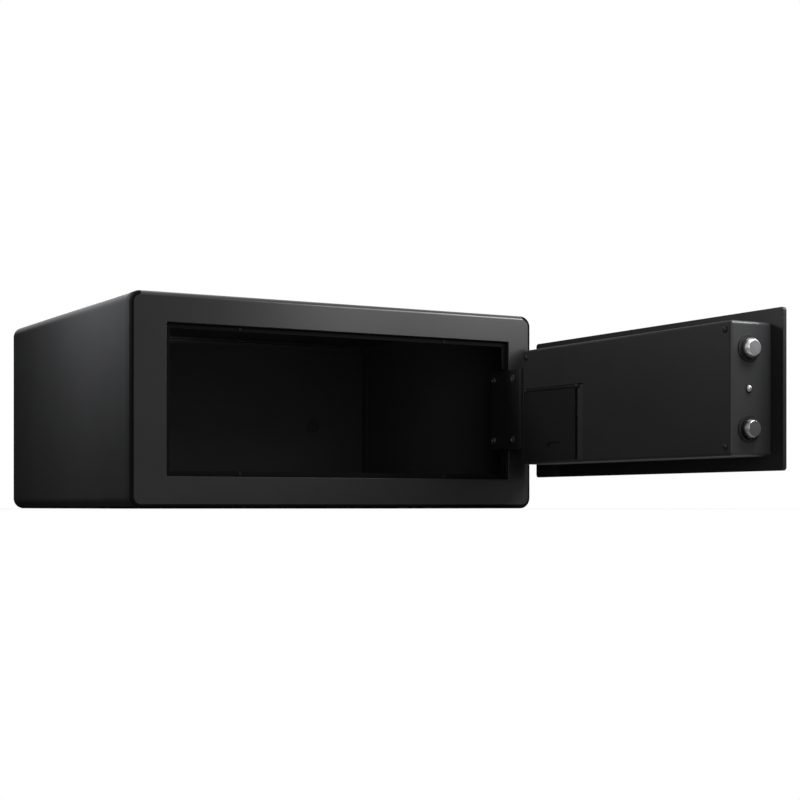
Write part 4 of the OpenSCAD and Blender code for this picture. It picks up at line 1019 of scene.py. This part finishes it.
lens_profile = [(0, -4), (1.8, -4), (1.8, 0.38), (1.45, 0.53), (1.0, 0.67), (0.5, 0.77), (0, 0.8)]
lenses = [lathe(lens_profile, at(LAMP_X, -READER_D, z) @ UPRIGHT, 32) for z in LAMP_PLACES_Z]
piece("reader_lamps", put(together(*lenses), DOOR), clear_lens, "door", "indicator_lenses")

# %% [markdown]
# ## The pull
# A round pull opens the door. Its head has shallow flutes for grip, which are round bars taken out of
# the rim, one for every fifteen degrees.
# %% The fluted pull
FLUTES = 24
FLUTE_R = 1.3
FLUTE_RING_R = 15.8
knob_profile = [(0, -10), (3, -10), (3, 0), (12, 0), (12, 1.6), (11.6, 2), (8.25, 2), (8.25, 13.4), (8.6, 14),
                (13.6, 14), (15, 15.2), (15, 22), (14.6, 23.1), (13.6, 23.8), (12.6, 24), (10.4, 24),
                (9.6, 23.5), (0, 23.5)]
knob = lathe(knob_profile, at(KNOB_X) @ UPRIGHT, 96)
flutes = []
for i in range(FLUTES):
    turn = 2 * math.pi * i / FLUTES
    x, z = FLUTE_RING_R * math.cos(turn), FLUTE_RING_R * math.sin(turn)
    flutes.append(inward(FLUTE_R, KNOB_X + x, z, -26, -12, 16))
knob = soften(cut(knob, *flutes), 0.25, 2)
knob_axis = DOOR @ Vector((MM * KNOB_X, 0.0, 0.0))
knob_steel = turned_steel("pull_zinc", knob_axis, "sheet_zinc", (0.5, 0.5, 0.52), 0.3, "X")
piece("fluted_pull", put(knob, DOOR), knob_steel, "door", "door_pull")

# %% [markdown]
# ## The override lock
# Under a swinging cover sits a key lock: a flanged barrel, and a plug with a keyway that turns a cam
# behind the door. The cover hangs from a shouldered pin.
# %% Barrel, plug, cover and pin
BARREL_L = 26
PLUG_R = 6.5
CAM_L = 20
CAM_R = 4
CAM_T = 2.5
KEYWAY_W = 1.4
KEYWAY_H = 8
DISC_R = 13
EYE_R = 5.5
LEAF_Y = (-7, -4.2)
bore_r = PLUG_R + PLAY
barrel_profile = [(bore_r, -3), (12, -3), (12, 0), (LOCK_R, 0), (LOCK_R, BARREL_L), (bore_r, BARREL_L),
                  (bore_r, -3)]
barrel = lathe(barrel_profile, at(KEY_X, 0, KEY_Z) @ INTO_DOOR, 64)
lock_axis = DOOR @ Vector((MM * KEY_X, 0.0, MM * KEY_Z))
lock_steel = turned_steel("lock_zinc", lock_axis, "sheet_zinc", (0.6, 0.6, 0.62), 0.24, "X")
piece("lock_barrel", put(soften(barrel, 0.4, 3), DOOR), lock_steel, "door", "key_barrel")

plug_end = BARREL_L + 3
cam_y = (plug_end - CAM_T, plug_end)
cam = combined("UNION", block((KEY_X - CAM_L, KEY_X), cam_y, about(KEY_Z, CAM_R)),
               inward(CAM_R, KEY_X - CAM_L, KEY_Z, *cam_y))
plug = combined("UNION", inward(PLUG_R, KEY_X, KEY_Z, -2.6, plug_end, 64), cam)
plug = cut(plug, block(about(KEY_X, KEYWAY_W / 2), (-4, 16), about(KEY_Z, KEYWAY_H / 2)))
piece("lock_plug", put(soften(plug, 0.25, 2), DOOR), bright_steel, "key_plug", "key_plug")

leaf = combined("UNION", inward(DISC_R, KEY_X, KEY_Z, *LEAF_Y, 96),
                block(about(KEY_X, EYE_R - 0.2), LEAF_Y, (KEY_Z + 1, PIN_Z - 0.5)))
leaf = combined("UNION", leaf, inward(EYE_R, KEY_X, PIN_Z, *LEAF_Y, 66))
leaf = soften(cut(leaf, inward(PIN_R + PLAY, KEY_X, PIN_Z, -8, -3)), 0.6, 3, angle=50)
piece("lock_cover", put(leaf, DOOR), lock_steel, "key_cover", "key_cover")

pin_profile = [(0, -4), (PIN_R, -4), (PIN_R, 0), (3.8, 0), (3.8, 4), (PIN_R, 4), (PIN_R, 7.2), (3.8, 7.2),
               (3.5, 8.1), (2.6, 8.4), (0, 8.4)]
pin = lathe(pin_profile, at(KEY_X, 0, PIN_Z) @ UPRIGHT, 48)
piece("cover_pin", put(soften(pin, 0.2), DOOR), bright_steel, "door", "key_cover_pin")

# %% [markdown]
# ## The battery tray and the cells
# The tray keeps its moulded form. Each cell gets what a real one has: a rolled crimp at the flat end, a
# shoulder and a button at the other, and a foil jacket in two bands. They lie head to tail, so every
# second one is turned over, and its light band with it.
# %% Four cells
softened("battery_tray", black_plastic, "door", 0.25, 1)


def foil(name, dark, light, metallic):
    finish = Finish(name, "cell_jacket")
    scuff = finish.grain(300.0, 4.0, 0.7)
    finish.surface(base_color=finish.blend(scuff, dark, light), roughness=0.24 + 0.1 * scuff,
                   metallic=metallic, coat_weight=0.5, normal=finish.bump(scuff, 0.00001, 0.4))
    return finish


cell_jacket = foil("foil_jacket", (0.03, 0.032, 0.035), (0.05, 0.052, 0.056), 0.0)
foil_band = foil("foil_band", (0.36, 0.37, 0.39), (0.48, 0.49, 0.51), 0.8)
CELL_R = 7.1
CELL_L = 50.5
CRIMP = 0.6
BAND_Z = 36
CELL_PITCH = 16.2
CELL_COUNT = 4
TURNED_OVER = Matrix.Rotation(math.pi, 4, "X")
cell_profile = [(0, 0.3), (5.4, 0.3), (5.7, 0), (6.6, 0), (CELL_R, CRIMP), (CELL_R, BAND_Z), (CELL_R, 48.3),
                (6.7, 49), (5.9, 49), (5.6, 48.6), (3.2, 48.6), (2.7, 49), (2.7, 50.1), (2.3, CELL_L),
                (0, CELL_L)]
cells_low, cells_high = door_box("batteries")
cell_y = (cells_low.y + cells_high.y) / 2
CELL_PLACES_X = [cells_low.x + CELL_R + i * CELL_PITCH for i in range(CELL_COUNT)]


def stand(i, upright_z, turned_z):
    """A place at a cell, which for every second cell is turned over"""
    if i % 2:
        return at(CELL_PLACES_X[i], cell_y, turned_z) @ TURNED_OVER
    return at(CELL_PLACES_X[i], cell_y, upright_z)


cells = []
for i in range(CELL_COUNT):
    cell = soften(lathe(cell_profile, at(), 40), 0.1, 1, angle=40)
    mark(cell, lambda normal, spot: not CRIMP < spot.z / MM < BAND_Z)
    cells.append(put(cell, stand(i, cells_high.z - CELL_L, cells_low.z + CELL_L)))
piece("cells", put(together(*cells), DOOR), cell_jacket, "door", "batteries", second=foil_band)

# %% [markdown]
# ## The contacts
# The flat end of a cell leans on a cone of spring wire, and both ends meet a small plated square. The
# wire is a small circle that is spun and lifted at once, and then drawn in more and more with height.
# %% Contact plates and cone coils
WIRE_R = 0.35
CONE_FOOT_R = 4.0
CONE_TOP_R = 2.4
CONE_H = 3.9
CONE_TURNS = 3.5
CONE_STEPS = 18
CONTACT_T = 0.5
CONTACT_HALF = 5.1


def cone_coil(foot_r, top_r):
    """A cone of round wire that stands on the XY plane, in millimetres"""
    wire = bmesh.new()
    bmesh.ops.create_circle(wire, cap_ends=True, segments=8, radius=MM * WIRE_R)
    put(wire, at(foot_r - WIRE_R, 0, WIRE_R) @ UPRIGHT)
    rise = MM * (CONE_H - 2 * WIRE_R)
    count = round(CONE_TURNS * CONE_STEPS)
    bmesh.ops.spin(wire, geom=wire.verts[:] + wire.edges[:] + wire.faces[:], cent=(0, 0, 0), axis=(0, 0, 1),
                   dvec=(0, 0, rise / count), angle=2 * math.pi * CONE_TURNS, steps=count, use_merge=False,
                   use_duplicate=False)
    for v in wire.verts:
        share = min(max((v.co.z - MM * WIRE_R) / rise, 0.0), 1.0)
        v.co -= Vector((v.co.x, v.co.y, 0.0)).normalized() * MM * (foot_r - top_r) * share
    bmesh.ops.recalc_face_normals(wire, faces=wire.faces)
    return wire


low_z, high_z = [corner.z for corner in door_box("battery_contacts")]
contacts = []
for i in range(CELL_COUNT):
    spans = about(CELL_PLACES_X[i], CONTACT_HALF), about(cell_y, CONTACT_HALF)
    for foot in (low_z, high_z - CONTACT_T):
        contacts.append(soften(block(*spans, (foot, foot + CONTACT_T)), 0.15, 1))
    contacts.append(put(cone_coil(CONE_FOOT_R, CONE_TOP_R), stand(i, low_z + CONTACT_T, high_z - CONTACT_T)))
contacts = put(together(*contacts), DOOR)
piece("cell_contacts", contacts, bright_steel, "door", "battery_contacts", smooth=60.0)

# %% [markdown]
# ## Finishes for the parts that stay as they are
# The lock works inside the casing are already the right shape, so their nodes stay. Each gets the
# finish of its slot in the record, and a slot without a finish would stop the script here.
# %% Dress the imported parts
FINISHES = {finish.slot: finish for finish in (
    body_paint, frame_paint, casing_paint, bright_steel, sheet_zinc, black_plastic, gloss_black,
    white_plastic, rubber, button_red, cable_black, mat_felt, brass, board_green, glass, clear_lens,
    cell_jacket)}
slot_of = {row["node"]: row["material_slot"] for row in frame["record"]["subparts"]}
for name, node in frame["nodes"].items():
    for place in node.material_slots:
        place.material = FINISHES[slot_of[name]].material
print(len(slot_of), "nodes are dressed")

# %% [markdown]
# ## Studio light
# The object is almost black, so what the camera sees of it is mostly reflection. The world is white
# to the camera, to gloss and to glass, and dim to matt surfaces. Seven soft lamps that the camera
# can't see give the tones: one overhead, one on the right for the front frame and the casing's end,
# a small one for the right of the top rail, one beside the camera that fills the front, one high on
# the left for the side wall, a faint one in the opening and one behind for the views from the back.
# %% World and lamps
world = bpy.data.worlds.new("studio")
scene.world = world
world.use_nodes = True
sky = Recipe(world.node_tree, "World")
PLAIN_WHITE = (1.0, 1.0, 1.0, 1.0)
DIM = 0.17
seen = sky.ray("Camera").at_least(sky.ray("Glossy")).at_least(sky.ray("Transmission"))
dim, white = [sky.node("Background", {}, {"Color": PLAIN_WHITE, "Strength": level}) for level in (DIM, 1.0)]
sky.show(sky.node("MixShader", {}, {0: seen, 1: dim, 2: white}))
LAMPS = [
    ("overhead", (0.0, 0.1, 1.8), (0.0, 0.0, 0.1), 1.2, 4.0),
    ("right_high", (0.5, -0.65, 0.38), (0.15, -0.2, 0.15), 0.25, 3.6),
    ("front_high", (0.23, -0.64, 0.28), (0.23, -0.57, 0.14), 0.1, 1.2),
    ("camera_side", (-0.4, -1.5, 0.3), (0.0, -0.1, 0.08), 0.6, 4.1),
    ("left_high", (-0.38, -0.12, 0.33), (-0.22, -0.09, 0.32), 0.08, 3.9),
    ("in_the_safe", (0.0, -0.12, 0.1), (0.0, 0.18, 0.09), 0.2, 0.22),
    ("behind", (0.5, 1.5, 0.6), (0.0, 0.18, 0.1), 0.6, 9.0),
]
for name, place, aim, size, watts in LAMPS:
    data = bpy.data.lights.new(name, "AREA")
    data.shape = "DISK"
    data.size = size
    data.energy = watts
    lamp = placed(name, data)
    lamp.location = place
    lamp.rotation_euler = (Vector(aim) - Vector(place)).to_track_quat("-Z", "Y").to_euler()
    lamp.visible_camera = False
print(len(LAMPS), "lamps are lit")

# %% [markdown]
# ## The floor
# The floor is a matt grey that the camera sees as white, with a trace of the grey near the safe, so
# that its shadow stays. Right under the safe it is all grey, so that nothing shines up from there.
# %% A pale floor
FLOOR_R = 12.0
FLOOR_DROP = 0.0002
NEAR_R, FAR_R, TRACE = 0.5, 1.3, 0.92
UNDER_X, UNDER_Y = 0.21, 0.175
GLOSS_SHARE = 0.2
floor_bm = bmesh.new()
bmesh.ops.create_circle(floor_bm, cap_ends=True, segments=96, radius=FLOOR_R)
bmesh.ops.translate(floor_bm, vec=(0.0, 0.0, -FLOOR_DROP), verts=floor_bm.verts)
floor = placed("studio_floor", mesh_of(floor_bm, "studio_floor"))
pale = Finish("pale_floor", "none")
pale.surface(
    base_color=pale.blend(pale.grain(30.0, 4.0), (0.28, 0.28, 0.28), (0.34, 0.34, 0.34)),
    roughness=0.9,
    specular_ior_level=0.0,
)
glow = pale.node("Emission", {}, {"Color": PLAIN_WHITE, "Strength": 1.0})
spot = pale.place()
away = pale.node("VectorMath", {"operation": "LENGTH"}, {0: spot}, out="Value")
opened = pale.node("MapRange", {}, {"Value": away, "From Min": NEAR_R, "From Max": FAR_R, "To Min": TRACE})
folded = pale.node("VectorMath", {"operation": "ABSOLUTE"}, {0: spot})
flat_x, flat_y = [pale.node("SeparateXYZ", {}, {"Vector": folded}, out=axis) for axis in "XY"]
covered = (flat_x < UNDER_X) * (flat_y < UNDER_Y)
shown = (pale.ray("Camera") * opened + pale.ray("Glossy") * GLOSS_SHARE) * (1.0 - covered)
pale.show(pale.node("MixShader", {}, {0: shown, 1: Wire(pale, pale.shader.outputs[0]), 2: glow}))
floor.data.materials.append(pale.material)
print("the floor is laid")
